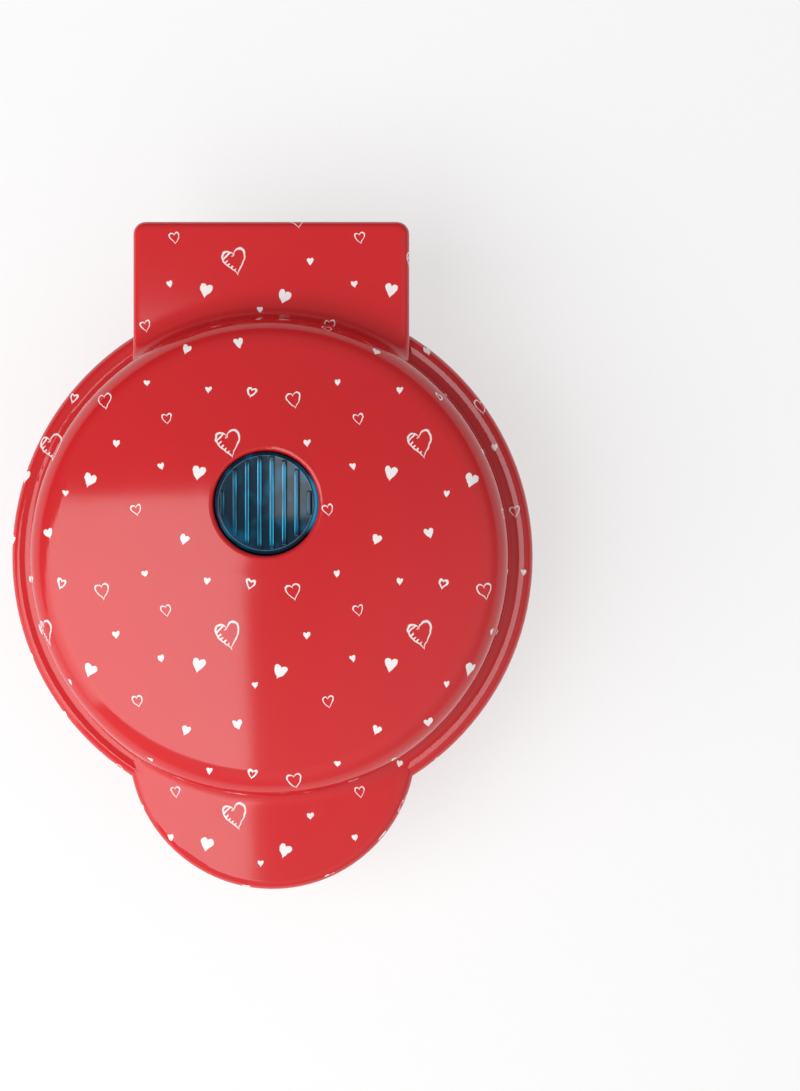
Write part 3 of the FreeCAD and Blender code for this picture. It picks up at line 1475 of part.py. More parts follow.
make_upper_housing()
make_lower_housing()
make_frame("upper_frame", lid_rim, 1, lid_frame_screws, s.screw_shank, s.screw_head,
           cheek_inner - s.fit_gap, True)
make_frame("lower_frame", base_rim, -1, base_frame_screws, s.small_shank, s.small_head,
           tower_half - s.shell_wall - s.fit_gap, False)
mirrored(make_cooking_plate(), "upper_cooking_plate")
mirrored(make_element(), "upper_heating_element")
mirrored(make_element_ends(), "upper_element_beads")
mirrored(make_terminal_pins(), "upper_element_pins")
mirrored(make_reflector(), "upper_reflector")
make_thermostat()
make_fuse()
make_fuse_clip()
make_base_plate()
low_foot = make_foot("FrontFoot", s.floor_height - s.base_plate_wall, s.base_plate_wall)
copies(low_foot, "front_feet", at_height(front_feet, 0))
tall_foot = make_foot("BackFoot", s.floor_height, s.shell_wall)
copies(tall_foot, "back_feet", at_height(back_feet, 0))
make_screws()
make_pin("left_hinge_pin", -1)
make_pin("right_hinge_pin", 1)
make_lens()
gasket_bottom = lens_seat - s.lens_gasket_wall
make_ring("LensGasket", "lens_gasket", 0, s.lens_place, lens_hole, s.lens_flange, gasket_bottom, lens_seat)
make_retainer()
make_lamp()
make_gland()
make_terminal_block()
base_leads()
lid_leads()


def check_document():
    """Stops if any object of the document is in error or any sub-part has no sound shape."""
    doc.recompute()
    for thing in doc.Objects:
        if "Invalid" in thing.State or "Error" in thing.State:
            raise RuntimeError(f"{thing.Label} is {thing.State}")
    for label, thing in nodes.items():
        if thing.Shape.isNull() or not thing.Shape.isValid():
            raise RuntimeError(f"{label} has no valid shape")


check_document()
os.makedirs(OUT_DIR, exist_ok=True)
for label, thing in nodes.items():
    thing.Shape.exportStep(os.path.join(OUT_DIR, label + ".step"))
    print(label, len(thing.Shape.Solids), round(thing.Shape.Volume / 1000, 2), "cm3")
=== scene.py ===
# %% [markdown]
# # A round mini waffle maker, dressed in its finishes
# The solid parts come ready made: each shell, plate, screw and lead is a mesh in its true place, in
# metres. What they lack is what the eye looks for first: glossy red plastic with white printed hearts, a
# ribbed blue lens, dark cast plates. We load the parts first.

# %% load the solid parts
from math import pi, radians

import bpy
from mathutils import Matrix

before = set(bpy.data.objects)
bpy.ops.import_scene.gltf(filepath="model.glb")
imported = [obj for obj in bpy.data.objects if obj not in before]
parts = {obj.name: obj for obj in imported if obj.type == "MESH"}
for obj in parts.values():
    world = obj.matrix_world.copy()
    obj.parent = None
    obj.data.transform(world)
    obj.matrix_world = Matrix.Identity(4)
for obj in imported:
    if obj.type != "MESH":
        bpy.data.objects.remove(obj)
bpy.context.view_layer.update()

scene = bpy.context.scene
scene.view_settings.view_transform = "Standard"

# %% [markdown]
# ## The camera
# The picture was taken from straight above, with the hinge at the top and the grip at the bottom. A
# camera that isn't turned at all already looks down its own -Z with +Y upwards, so it only needs a
# place and a lens. A flat view without perspective would be simpler, but the real dome stands
# nearer to the lens than its rim and looks a little larger for it, so the camera stays half a metre
# away, beside the middle, where the real one was.

# %% camera straight above
CAMERA_PLACE = (0.0311, 0.00275, 0.541)
CAMERA_LENS = 67.2
CAMERA_NEAREST = 0.01

camera_data = bpy.data.cameras.new("overhead_camera")
camera_data.lens = CAMERA_LENS
camera_data.clip_start = CAMERA_NEAREST
camera = bpy.data.objects.new("overhead_camera", camera_data)
camera.location = CAMERA_PLACE
scene.collection.objects.link(camera)
scene.camera = camera
print("camera at", CAMERA_PLACE, "with a", CAMERA_LENS, "mm lens")

# %% [markdown]
# ## Small helpers for shader nodes
# Every finish below is a small graph of shader nodes. Written out in full, such graphs are long and
# hard to read, so a few helpers do the repeating work. The most useful is feed: it gives a socket
# either a fixed value or another node's output, whichever it is handed.

# %% feeding a socket, and arithmetic
def feed(tree, socket, value):
    """Gives a socket a fixed value, or links an output to it."""
    if isinstance(value, bpy.types.NodeSocket):
        tree.links.new(value, socket)
    else:
        socket.default_value = value


def maths(tree, operation, first, second=0.0, third=0.0):
    """One step of arithmetic on numbers."""
    node = tree.nodes.new("ShaderNodeMath")
    node.operation = operation
    for socket, value in zip(node.inputs, (first, second, third)):
        feed(tree, socket, value)
    return node.outputs[0]


def vectors(tree, operation, first, second=(0.0, 0.0, 0.0), third=(0.0, 0.0, 0.0)):
    """One step of arithmetic on vectors."""
    node = tree.nodes.new("ShaderNodeVectorMath")
    node.operation = operation
    for socket, value in zip(node.inputs, (first, second, third)):
        feed(tree, socket, value)
    return node.outputs["Value" if operation == "LENGTH" else "Vector"]


def stretched(tree, vector, factor):
    """A vector made longer or shorter by one number."""
    node = tree.nodes.new("ShaderNodeVectorMath")
    node.operation = "SCALE"
    feed(tree, node.inputs[0], vector)
    feed(tree, node.inputs["Scale"], factor)
    return node.outputs["Vector"]


def split(tree, vector):
    """The three numbers of a vector."""
    node = tree.nodes.new("ShaderNodeSeparateXYZ")
    feed(tree, node.inputs[0], vector)
    return node.outputs


def joined(tree, x, y, z=0.0):
    """A vector from three numbers."""
    node = tree.nodes.new("ShaderNodeCombineXYZ")
    for socket, value in zip(node.inputs, (x, y, z)):
        feed(tree, socket, value)
    return node.outputs[0]


print("helpers for numbers and vectors ready")

# %% ramps, mottling and colours
def ramp(tree, value, low, high, start=0.0, end=1.0):
    """Goes smoothly from start to end while value goes from low to high; low may be the larger."""
    node = tree.nodes.new("ShaderNodeMapRange")
    node.interpolation_type = "SMOOTHSTEP"
    for socket, number in zip(node.inputs, (value, low, high, start, end)):
        feed(tree, socket, number)
    return node.outputs[0]


def noise(tree, place, scale, detail=2.0):
    """Soft random mottling between 0 and 1."""
    node = tree.nodes.new("ShaderNodeTexNoise")
    feed(tree, node.inputs["Vector"], place)
    feed(tree, node.inputs["Scale"], scale)
    feed(tree, node.inputs["Detail"], detail)
    return node.outputs[0]


def blended(tree, share, first, second):
    """A colour between two others: inputs 6 and 7 are the colours, output 2 is the blend."""
    node = tree.nodes.new("ShaderNodeMix")
    node.data_type = "RGBA"
    feed(tree, node.inputs[0], share)
    feed(tree, node.inputs[6], first)
    feed(tree, node.inputs[7], second)
    return node.outputs[2]


def screen_colour(red, green, blue):
    """A colour as an image editor shows it, 0 to 255, as the linear light that shaders use."""
    linear = []
    for channel in (red, green, blue):
        share = channel / 255
        linear.append(share / 12.92 if share <= 0.04045 else ((share + 0.055) / 1.055) ** 2.4)
    return (*linear, 1.0)


print("a mid grey of 128 is", round(screen_colour(128, 128, 128)[0], 3), "in linear light")

# %% [markdown]
# ## Floor and light
# A product photograph of a shiny thing is mostly a picture of its lamps. Here one large soft panel
# hangs to the front left: its mirror image is the pale pink field on the left half of the lid, and
# its straight edge draws the line down the middle. At the panel's left end a wall of five strips, each
# dimmer than the one above, lights the outward slopes. The room adds light from all sides, a little
# stronger from the front and the right, so that the right half stays a clear red. One bright lamp
# would be simpler, but it would leave a hot spot instead of that broad field. The floor is white
# paper, and a thin pale horizon joins it to the room. The eye and mirror images see a good half of the
# paper as plain white, which keeps the shadow faint, while the object is lit by the paper alone.

# %% pale floor: one large square
FLOOR_HALF = 30.0

floor_mesh = bpy.data.meshes.new("floor")
corners = [(x * FLOOR_HALF, y * FLOOR_HALF, 0.0) for x, y in ((-1, -1), (1, -1), (1, 1), (-1, 1))]
floor_mesh.from_pydata(corners, [], [(0, 1, 2, 3)])
floor = bpy.data.objects.new("floor", floor_mesh)
scene.collection.objects.link(floor)
print("floor of", 2 * FLOOR_HALF, "m")

# %% pale floor: white paper
PAPER_SHADED = (0.91, 0.91, 0.91, 1.0)
PAPER_LIGHT = (0.94, 0.94, 0.94, 1.0)
PAPER_FIBRE = 220.0
PLAIN_WHITE_SHARE = 0.6

paper = bpy.data.materials.new("floor_paper")
paper.use_nodes = True
paper_tree = paper.node_tree
paper_shader = paper_tree.nodes["Principled BSDF"]
paper_place = paper_tree.nodes.new("ShaderNodeTexCoord").outputs["Object"]
paper_fibre = noise(paper_tree, paper_place, PAPER_FIBRE, detail=4.0)
paper_colour = blended(paper_tree, paper_fibre, PAPER_SHADED, PAPER_LIGHT)
feed(paper_tree, paper_shader.inputs["Base Color"], paper_colour)
paper_shader.inputs["Roughness"].default_value = 0.9
paper_shader.inputs["Specular IOR Level"].default_value = 0.0
rays = paper_tree.nodes.new("ShaderNodeLightPath").outputs
seen = maths(paper_tree, "MAXIMUM", rays["Is Camera Ray"], rays["Is Glossy Ray"])
seen = maths(paper_tree, "MAXIMUM", seen, rays["Is Transmission Ray"])
glow = paper_tree.nodes.new("ShaderNodeEmission")
both = paper_tree.nodes.new("ShaderNodeMixShader")
feed(paper_tree, both.inputs[0], maths(paper_tree, "MULTIPLY", seen, PLAIN_WHITE_SHARE))
feed(paper_tree, both.inputs[1], paper_shader.outputs[0])
feed(paper_tree, both.inputs[2], glow.outputs[0])
feed(paper_tree, paper_tree.nodes["Material Output"].inputs["Surface"], both.outputs[0])
floor_mesh.materials.append(paper)
print("paper of which", PLAIN_WHITE_SHARE, "is seen as plain white")

# %% soft panel overhead, to the front left
PANEL_LEFT = -0.90
PANEL_RIGHT = -0.100
PANEL_BACK = 0.145
PANEL_FRONT = -0.72
PANEL_HEIGHT = 0.87
PANEL_RADIANCE = 3.4


def soft_panel(name, place, tilt, width, length, radiance):
    """A flat lamp that shines straight down until it is tilted.

    A face of even radiance sends out pi times its radiance from each square metre.
    """
    data = bpy.data.lights.new(name, "AREA")
    data.shape = "RECTANGLE"
    data.size = width
    data.size_y = length
    data.energy = pi * radiance * width * length
    panel = bpy.data.objects.new(name, data)
    panel.location = place
    panel.rotation_euler = (0.0, tilt, 0.0)
    panel.visible_camera = False
    scene.collection.objects.link(panel)


panel_width = PANEL_RIGHT - PANEL_LEFT
panel_length = PANEL_BACK - PANEL_FRONT
panel_x = (PANEL_RIGHT + PANEL_LEFT) / 2
panel_y = (PANEL_BACK + PANEL_FRONT) / 2
panel_place = (panel_x, panel_y, PANEL_HEIGHT)
soft_panel("overhead_panel", panel_place, 0.0, panel_width, panel_length, PANEL_RADIANCE)
print("overhead panel", round(panel_width, 3), "by", round(panel_length, 3), "m")

# %% strips that stand on the left, dimmer and shorter towards the floor
STRIPS = 5
STRIP_LOWEST = 0.10
STRIP_DIMMEST = 0.25
STRIP_SETBACK = 0.08
FACING_RIGHT = -pi / 2

strip_height = (PANEL_HEIGHT - STRIP_LOWEST) / STRIPS
for strip in range(STRIPS):
    steps_down = strip + 0.5
    setback = STRIP_SETBACK * steps_down
    strip_place = (PANEL_LEFT, panel_y - setback / 2, PANEL_HEIGHT - steps_down * strip_height)
    dimmed = 1.0 - (1.0 - STRIP_DIMMEST) * steps_down / STRIPS
    soft_panel(
        f"left_strip_{strip}", strip_place, FACING_RIGHT,
        strip_height, panel_length - setback, PANEL_RADIANCE * dimmed,
    )
print(STRIPS, "strips of", round(strip_height, 3), "m")

# %% even light of the room, stronger from the front and the right
ROOM_ABOVE = (0.35, 0.84)
ROOM_SIDES = (0.10, 0.52)
ROOM_RIGHT_EXTRA = 0.08
ROOM_HORIZON = 0.77
SIDES_TO_ABOVE = (0.25, 0.65)
HORIZON_TO_SIDES = (0.015, 0.06)
FRONT_RIGHT = (0.6, -0.8)
ABOVE_TURN = (-0.2, 0.7)
SIDES_TURN = (0.7, -0.7)
RIGHT_TURN = (0.0, 0.8)

room = bpy.data.worlds.new("room")
scene.world = room
room.use_nodes = True
room_tree = room.node_tree
room_direction = room_tree.nodes.new("ShaderNodeTexCoord").outputs["Generated"]
room_x, room_y, room_z = split(room_tree, room_direction)
frontward = maths(room_tree, "MULTIPLY", room_y, FRONT_RIGHT[1])
front_right = maths(room_tree, "MULTIPLY_ADD", room_x, FRONT_RIGHT[0], frontward)
above_level = ramp(room_tree, front_right, *ABOVE_TURN, *ROOM_ABOVE)
side_level = ramp(room_tree, room_y, *SIDES_TURN, *ROOM_SIDES)
right_extra = ramp(room_tree, room_x, *RIGHT_TURN, 0.0, ROOM_RIGHT_EXTRA)
side_level = maths(room_tree, "ADD", side_level, right_extra)
level = ramp(room_tree, room_z, *SIDES_TO_ABOVE, side_level, above_level)
level = ramp(room_tree, room_z, *HORIZON_TO_SIDES, ROOM_HORIZON, level)
feed(room_tree, room_tree.nodes["Background"].inputs["Color"], joined(room_tree, level, level, level))
print("room light from behind and in front:", ROOM_ABOVE, "above and", ROOM_SIDES, "at the sides")

# %% [markdown]
# ## Three shared surface effects
# Moulded plastic is never a perfect mirror: the mould leaves a faint orange peel, and handling leaves
# patches that are a little duller. Machined and pressed metal has fine lines along one direction.
# Cast and fired surfaces are speckled. Each of these is needed by several finishes, so each is a node
# group, built once and placed with other values. A group only puts out numbers that change over the
# surface: the shader itself stays in each material.

# %% helpers for node groups
def new_group(name, inputs, outputs):
    """An empty shader group with named number sockets; returns it with its two end nodes."""
    group = bpy.data.node_groups.new(name, "ShaderNodeTree")
    for label, value in inputs.items():
        kind = "NodeSocketVector" if isinstance(value, tuple) else "NodeSocketFloat"
        socket = group.interface.new_socket(label, in_out="INPUT", socket_type=kind)
        socket.default_value = value
    for label in outputs:
        group.interface.new_socket(label, in_out="OUTPUT", socket_type="NodeSocketFloat")
    return group, group.nodes.new("NodeGroupInput"), group.nodes.new("NodeGroupOutput")


def placed(tree, group, **values):
    """Places a group in a material and sets its inputs by name."""
    node = tree.nodes.new("ShaderNodeGroup")
    node.node_tree = group
    for name, value in values.items():
        feed(tree, node.inputs[name], value)
    return node.outputs


def uneven_gloss(group, into, mottling):
    """A roughness that strays from Gloss to both sides, by half of Spread at most."""
    offset = maths(group, "SUBTRACT", mottling, 0.5)
    return maths(group, "MULTIPLY_ADD", offset, into.outputs["Spread"], into.outputs["Gloss"])


print("group helpers ready")

# %% moulded skin: orange peel, and patches of duller gloss
SKIN_PATCHES = 38.0
SKIN_TONES = 22.0

moulded_skin, into, out = new_group(
    "moulded_skin",
    {"Grain": 900.0, "Gloss": 0.12, "Spread": 0.05},
    ("Height", "Roughness", "Tone"),
)
skin_place = moulded_skin.nodes.new("ShaderNodeTexCoord").outputs["Object"]
skin_peel = noise(moulded_skin, skin_place, into.outputs["Grain"], detail=1.0)
skin_patches = noise(moulded_skin, skin_place, SKIN_PATCHES, detail=3.0)
feed(moulded_skin, out.inputs["Height"], skin_peel)
feed(moulded_skin, out.inputs["Roughness"], uneven_gloss(moulded_skin, into, skin_patches))
feed(moulded_skin, out.inputs["Tone"], noise(moulded_skin, skin_place, SKIN_TONES))
print("moulded skin:", len(moulded_skin.nodes), "nodes")

# %% drawn lines: fine streaks along one direction
LINES_TONES = 300.0

drawn_lines, into, out = new_group(
    "drawn_lines",
    {"Stretch": (1.0, 1.0, 0.06), "Fineness": 2600.0, "Gloss": 0.3, "Spread": 0.15},
    ("Height", "Roughness", "Tone"),
)
lines_place = drawn_lines.nodes.new("ShaderNodeTexCoord").outputs["Object"]
lines_place = vectors(drawn_lines, "MULTIPLY", lines_place, into.outputs["Stretch"])
line_marks = noise(drawn_lines, lines_place, into.outputs["Fineness"], detail=3.0)
feed(drawn_lines, out.inputs["Height"], line_marks)
feed(drawn_lines, out.inputs["Roughness"], uneven_gloss(drawn_lines, into, line_marks))
feed(drawn_lines, out.inputs["Tone"], noise(drawn_lines, lines_place, LINES_TONES))
print("drawn lines:", len(drawn_lines.nodes), "nodes")

# %% fired speckle: small dots and a slightly rough skin
DOT_SOFTNESS = 1.6
SPECKLE_GRAIN = 1800.0
SPECKLE_PATCHES = 60.0

fired_speckle, into, out = new_group(
    "fired_speckle",
    {"Dots": 1100.0, "Share": 0.25, "Gloss": 0.4, "Spread": 0.2},
    ("Height", "Roughness", "Dot"),
)
speckle_place = fired_speckle.nodes.new("ShaderNodeTexCoord").outputs["Object"]
cells = fired_speckle.nodes.new("ShaderNodeTexVoronoi")
feed(fired_speckle, cells.inputs["Vector"], speckle_place)
feed(fired_speckle, cells.inputs["Scale"], into.outputs["Dots"])
dot_edge = maths(fired_speckle, "MULTIPLY", into.outputs["Share"], DOT_SOFTNESS)
dot = ramp(fired_speckle, cells.outputs["Distance"], into.outputs["Share"], dot_edge, 1.0, 0.0)
speckle_grain = noise(fired_speckle, speckle_place, SPECKLE_GRAIN, detail=3.0)
speckle_patches = noise(fired_speckle, speckle_place, SPECKLE_PATCHES, detail=3.0)
feed(fired_speckle, out.inputs["Height"], speckle_grain)
feed(fired_speckle, out.inputs["Roughness"], uneven_gloss(fired_speckle, into, speckle_patches))
feed(fired_speckle, out.inputs["Dot"], dot)
print("fired speckle:", len(fired_speckle.nodes), "nodes")

# %% [markdown]
# ## Starting a finish
# Each finish is one material with one Principled shader. Plain numbers are set straight on the
# shader's sockets. Most finishes blend two close colours by a mask and take their roughness and a bump
# from the same shared effect, so there is a helper for each of these steps. The last one puts a finish
# on the parts that wear it.

# %% helpers that make a finish and put it on parts
def new_finish(name, **settings):
    """A material with an empty Principled shader; settings are fixed values of its sockets."""
    material = bpy.data.materials.new(name)
    material.use_nodes = True
    shader = material.node_tree.nodes["Principled BSDF"]
    for label, value in settings.items():
        shader.inputs[label.replace("_", " ")].default_value = value
    return material, material.node_tree, shader


def two_tone(tree, shader, effect, mask, first, second):
    """Blends two colours by a mask of a shared effect, and takes the effect's roughness."""
    colour = blended(tree, effect[mask], first, second)
    feed(tree, shader.inputs["Base Color"], colour)
    feed(tree, shader.inputs["Roughness"], effect["Roughness"])
    return colour


def raise_skin(tree, shader, height, strength, depth):
    """Lets a height pattern bend the light as a real surface of that depth would."""
    bump = tree.nodes.new("ShaderNodeBump")
    bump.inputs["Strength"].default_value = strength
    bump.inputs["Distance"].default_value = depth
    feed(tree, bump.inputs["Height"], height)
    feed(tree, shader.inputs["Normal"], bump.outputs["Normal"])
    return bump


def wear(material, *names):
    """Puts a finish on solid parts, in place of the plain colour they came with."""
    for name in names:
        mesh = parts[name].data
        mesh.materials.clear()
        mesh.materials.append(material)
        dressed.append(name)
    print(material.name, "on", ", ".join(names))


dressed = []
print("finish helpers ready")

# %% [markdown]
# ## Glossy red plastic
# The shells are moulded in one deep red, polished in the mould. Two reds that lie close together,
# blended by slow mottling, keep the large faces from looking like flat paint. The gloss is the
# shader's own reflection with low roughness; a separate coat would double the mirror image of the
# panel.

# %% plain red shell, frames and cover
RED_DEEP = screen_colour(199, 31, 36)
RED_WARM = screen_colour(208, 36, 40)


def red_plastic(name, grain, gloss, depth):
    """The red of the shells; returns what a print needs to cover it."""
    material, tree, shader = new_finish(name)
    skin = placed(tree, moulded_skin, Grain=grain, Gloss=gloss, Spread=0.06)
    red = two_tone(tree, shader, skin, "Tone", RED_DEEP, RED_WARM)
    peel = raise_skin(tree, shader, skin["Height"], strength=0.25, depth=depth)
    return material, tree, shader, red, peel


red_shell = red_plastic("red_shell_gloss", grain=420.0, gloss=0.13, depth=0.00002)[0]
wear(red_shell, "lower_housing")
red_frame = red_plastic("red_frame_satin", grain=2400.0, gloss=0.34, depth=0.00005)[0]
wear(red_frame, "upper_frame", "lower_frame", "base_plate")

# %% [markdown]
# ## One printed heart
# The lid is printed with small white hearts. They could be cut as thin meshes and laid on the dome,
# but ink has no thickness to speak of, and a drawing in the material follows every curve for free.
# A heart is a disc whose height is bent by the square root of its width: inside it, the length of
# (x, 1.12 y - sqrt|x|) is below 1. The same number also tells how near a point is to the outline, so
# it draws filled hearts, outlines and the hatching of a sketched one.

# %% node group that draws one heart
REPEAT = 44.6
HEART_EDGE = 0.05
HEART_TALL = 1.12

heart, into, out = new_group(
    "printed_heart",
    {
        "Point": (0.0, 0.0, 0.0), "Place": (0.0, 0.0, 0.0),
        "Half": 1.0, "Tilt": 0.0, "Line": 2.0, "Hatch": 0.0,
    },
    ("Ink",),
)
offset = vectors(heart, "SUBTRACT", into.outputs["Point"], into.outputs["Place"])
limit = (REPEAT / 2, REPEAT / 2, 1.0)
nearest = vectors(heart, "WRAP", offset, limit, tuple(-value for value in limit))
turn = heart.nodes.new("ShaderNodeVectorRotate")
turn.rotation_type = "Z_AXIS"
feed(heart, turn.inputs["Vector"], nearest)
feed(heart, turn.inputs["Angle"], into.outputs["Tilt"])
local = stretched(heart, turn.outputs[0], maths(heart, "DIVIDE", 1.0, into.outputs["Half"]))
local_x, local_y, _ = split(heart, local)
bent = maths(heart, "SQRT", maths(heart, "ABSOLUTE", local_x))
bent = maths(heart, "SUBTRACT", maths(heart, "MULTIPLY", local_y, HEART_TALL), bent)
from_middle = vectors(heart, "LENGTH", joined(heart, local_x, bent))
filled = ramp(heart, from_middle, 1.0 - HEART_EDGE, 1.0 + HEART_EDGE, 1.0, 0.0)
core_edge = maths(heart, "SUBTRACT", 1.0, into.outputs["Line"])
core_inner = maths(heart, "SUBTRACT", core_edge, HEART_EDGE)
core_outer = maths(heart, "ADD", core_edge, HEART_EDGE)
core = ramp(heart, from_middle, core_inner, core_outer, 1.0, 0.0)
line = maths(heart, "SUBTRACT", filled, core)
print("heart outlined with", len(heart.nodes), "nodes")

# %% hatching inside the left half of a sketched heart
HATCH_UP = 2.6
HATCH_ACROSS = -1.6
HATCH_STROKE = (0.28, 0.36)
HATCH_LEFT = (-0.25, 0.05)
HATCH_DEPTH = (0.5, 0.6)

slant = maths(heart, "MULTIPLY", local_x, HATCH_ACROSS)
slant = maths(heart, "MULTIPLY_ADD", local_y, HATCH_UP, slant)
stroke = ramp(heart, maths(heart, "PINGPONG", slant, 0.5), *HATCH_STROKE)
left_side = ramp(heart, local_x, *HATCH_LEFT, 1.0, 0.0)
near_edge = maths(heart, "MULTIPLY", ramp(heart, from_middle, *HATCH_DEPTH), filled)
hatching = maths(heart, "MULTIPLY", maths(heart, "MULTIPLY", stroke, left_side), near_edge)
hatching = maths(heart, "MULTIPLY", hatching, into.outputs["Hatch"])
feed(heart, out.inputs["Ink"], maths(heart, "MAXIMUM", line, hatching))
print("heart drawn with", len(heart.nodes), "nodes")

# %% [markdown]
# ## The print on the lid
# A small set of hearts repeats over the lid like wallpaper. Seen from above the print is flat, so
# its place is simply x and y. On upright walls that would drag each heart into a long streak. There
# the pattern is unrolled instead: a point is pushed outwards along its normal by as much as it lies
# below the edge it belongs to. A little noise added to the place makes the hearts look drawn by
# hand. The inner corners of a moulding are rounded, so where the dome meets the hood and the grip, a
# bevel node lets the light bend softly without a change of shape.

# %% hearts of the print: place, half width, tilt in degrees, line width, hatching
OUTLINE = 0.17
SOLID = 2.0
HEARTS = [
    (36.2, 25.5, 2.9, 14, OUTLINE * 0.8, 1),
    (6.5, 36.0, 1.75, 12, OUTLINE, 0),
    (21.5, 31.8, 1.25, 10, OUTLINE * 1.2, 0),
    (14.5, 10.5, 1.3, 12, OUTLINE * 1.2, 0),
    (41.0, 38.0, 1.15, -14, OUTLINE * 2.4, 0),
    (28.8, 19.0, 1.5, -12, SOLID, 0),
    (3.0, 17.5, 1.5, -20, SOLID, 0),
    (25.5, 3.8, 1.05, -22, SOLID, 0),
    (38.0, 5.2, 1.1, 14, SOLID, 0),
    (9.5, 26.2, 0.82, 4, SOLID, 0),
    (31.0, 38.8, 0.75, -5, SOLID, 0),
    (20.2, 20.8, 0.75, 12, SOLID, 0),
    (42.0, 14.6, 0.72, 0, SOLID, 0),
    (16.5, 40.5, 0.7, 6, SOLID, 0),
]
print(len(HEARTS), "hearts repeat every", REPEAT, "mm")

# %% printed red lid: where the pattern is folded down the walls
MILLIMETRES = 1000.0
DOME_REACH = 57.05
DOME_EDGE = 61.9
BAND_REACH = 61.1
BAND_EDGE = 46.0
TAB_REACH = 63.55
TAB_EDGE = 49.9
STEEP = (0.72, 0.6)

red_lid, tree, shader, red, peel = red_plastic(
    "red_lid_printed", grain=420.0, gloss=0.11, depth=0.00002,
)
surface = tree.nodes.new("ShaderNodeTexCoord")
point = stretched(tree, surface.outputs["Object"], MILLIMETRES)
point_x, point_y, point_z = split(tree, point)
normal_x, normal_y, normal_z = split(tree, surface.outputs["Normal"])
reach = vectors(tree, "LENGTH", joined(tree, point_x, point_y))
on_dome = maths(tree, "LESS_THAN", reach, DOME_REACH)
past_flange = maths(tree, "GREATER_THAN", reach, BAND_REACH)
on_tab = maths(tree, "GREATER_THAN", reach, TAB_REACH)
edge_height = maths(tree, "MULTIPLY", on_dome, DOME_EDGE)
edge_height = maths(tree, "MULTIPLY_ADD", past_flange, BAND_EDGE, edge_height)
edge_height = maths(tree, "MULTIPLY_ADD", on_tab, TAB_EDGE - BAND_EDGE, edge_height)
drop = maths(tree, "MAXIMUM", maths(tree, "SUBTRACT", edge_height, point_z), 0.0)
drop = maths(tree, "MULTIPLY", drop, ramp(tree, normal_z, *STEEP))
unrolled_x = maths(tree, "MULTIPLY_ADD", normal_x, drop, point_x)
unrolled_y = maths(tree, "MULTIPLY_ADD", normal_y, drop, point_y)
unrolled = joined(tree, unrolled_x, unrolled_y)
print("print folds down at", DOME_EDGE, BAND_EDGE, "and", TAB_EDGE, "mm")

# %% printed red lid: soft inner corners where the dome meets the hood and the grip
SOFT_RADIUS = 0.004
SOFT_FROM = (56.2, 56.8)
SOFT_UNTIL = (64.0, 67.0)
SOFT_HALF = (31.0, 33.5)

softness = ramp(tree, maths(tree, "ABSOLUTE", point_x), *SOFT_HALF, 1.0, 0.0)
softness = maths(tree, "MULTIPLY", softness, ramp(tree, reach, *SOFT_FROM))
softness = maths(tree, "MULTIPLY", softness, ramp(tree, reach, *SOFT_UNTIL, 1.0, 0.0))
soft_corner = tree.nodes.new("ShaderNodeBevel")
soft_corner.samples = 8
feed(tree, soft_corner.inputs["Radius"], maths(tree, "MULTIPLY", softness, SOFT_RADIUS))
feed(tree, peel.inputs["Normal"], soft_corner.outputs["Normal"])
print("corners softened over", SOFT_RADIUS * MILLIMETRES, "mm")

# %% printed red lid: white ink over the red
INK = screen_colour(244, 238, 238)
WOBBLE_FINENESS = 0.6
WOBBLE_REACH = 0.7
OUTER_SIDE = (-0.6, -0.3)

wobble = tree.nodes.new("ShaderNodeTexNoise")
feed(tree, wobble.inputs["Vector"], unrolled)
feed(tree, wobble.inputs["Scale"], WOBBLE_FINENESS)
wobble_step = vectors(tree, "SUBTRACT", wobble.outputs["Color"], (0.5, 0.5, 0.5))
drawn_at = vectors(tree, "ADD", unrolled, stretched(tree, wobble_step, WOBBLE_REACH))
ink = 0.0
for x, y, half, tilt, line_width, hatch in HEARTS:
    one = placed(
        tree, heart, Point=drawn_at, Place=(x, y, 0.0), Half=half, Tilt=-radians(tilt),
        Line=line_width, Hatch=hatch,
    )
    ink = maths(tree, "MAXIMUM", one["Ink"], ink)
outer_side = ramp(tree, normal_z, *OUTER_SIDE)
ink = maths(tree, "MULTIPLY", ink, outer_side)
feed(tree, shader.inputs["Base Color"], blended(tree, ink, red, INK))
wear(red_lid, "upper_housing")

# %% [markdown]
# ## The blue lens
# The indicator lens is clear blue plastic over a dark inside. Its eight ribs gather the light that comes
# up through it, so each rib shows as two bright lines with darkness between. True refraction would
# need a lit lamp and a clean mirror under the lens, and many rays to settle. A colour that
# brightens on the two flanks of each rib, with a little glow of its own, gives the same picture from
# every side and survives the export. The real face is a little hollow and mirrors the panel in its
# far half, so a bump in the form of a shallow dish bends the reflection in the same way.

# %% ribbed blue lens: painted highlights on the flanks of its ribs
LENS_CENTRE = (0.0, 12.6, 0.0)
RIB_PITCH = 2.86
RIB_FLANK = 0.36
RIB_HIGHLIGHT_EDGE = (0.0, 0.15)
RIBS_END = (9.0, 10.4)
RIB_CORE_PAINTED_LIGHT = 0.12
OUTER_FLANK = (2.5, 7.5)
OUTER_FLANK_LOSS = 0.8
STREAK_SCALE = (0.8, 0.1, 0.0)
STREAK_RANGE = (0.25, 0.6)
STREAK_LEVEL = (0.15, 1.0)

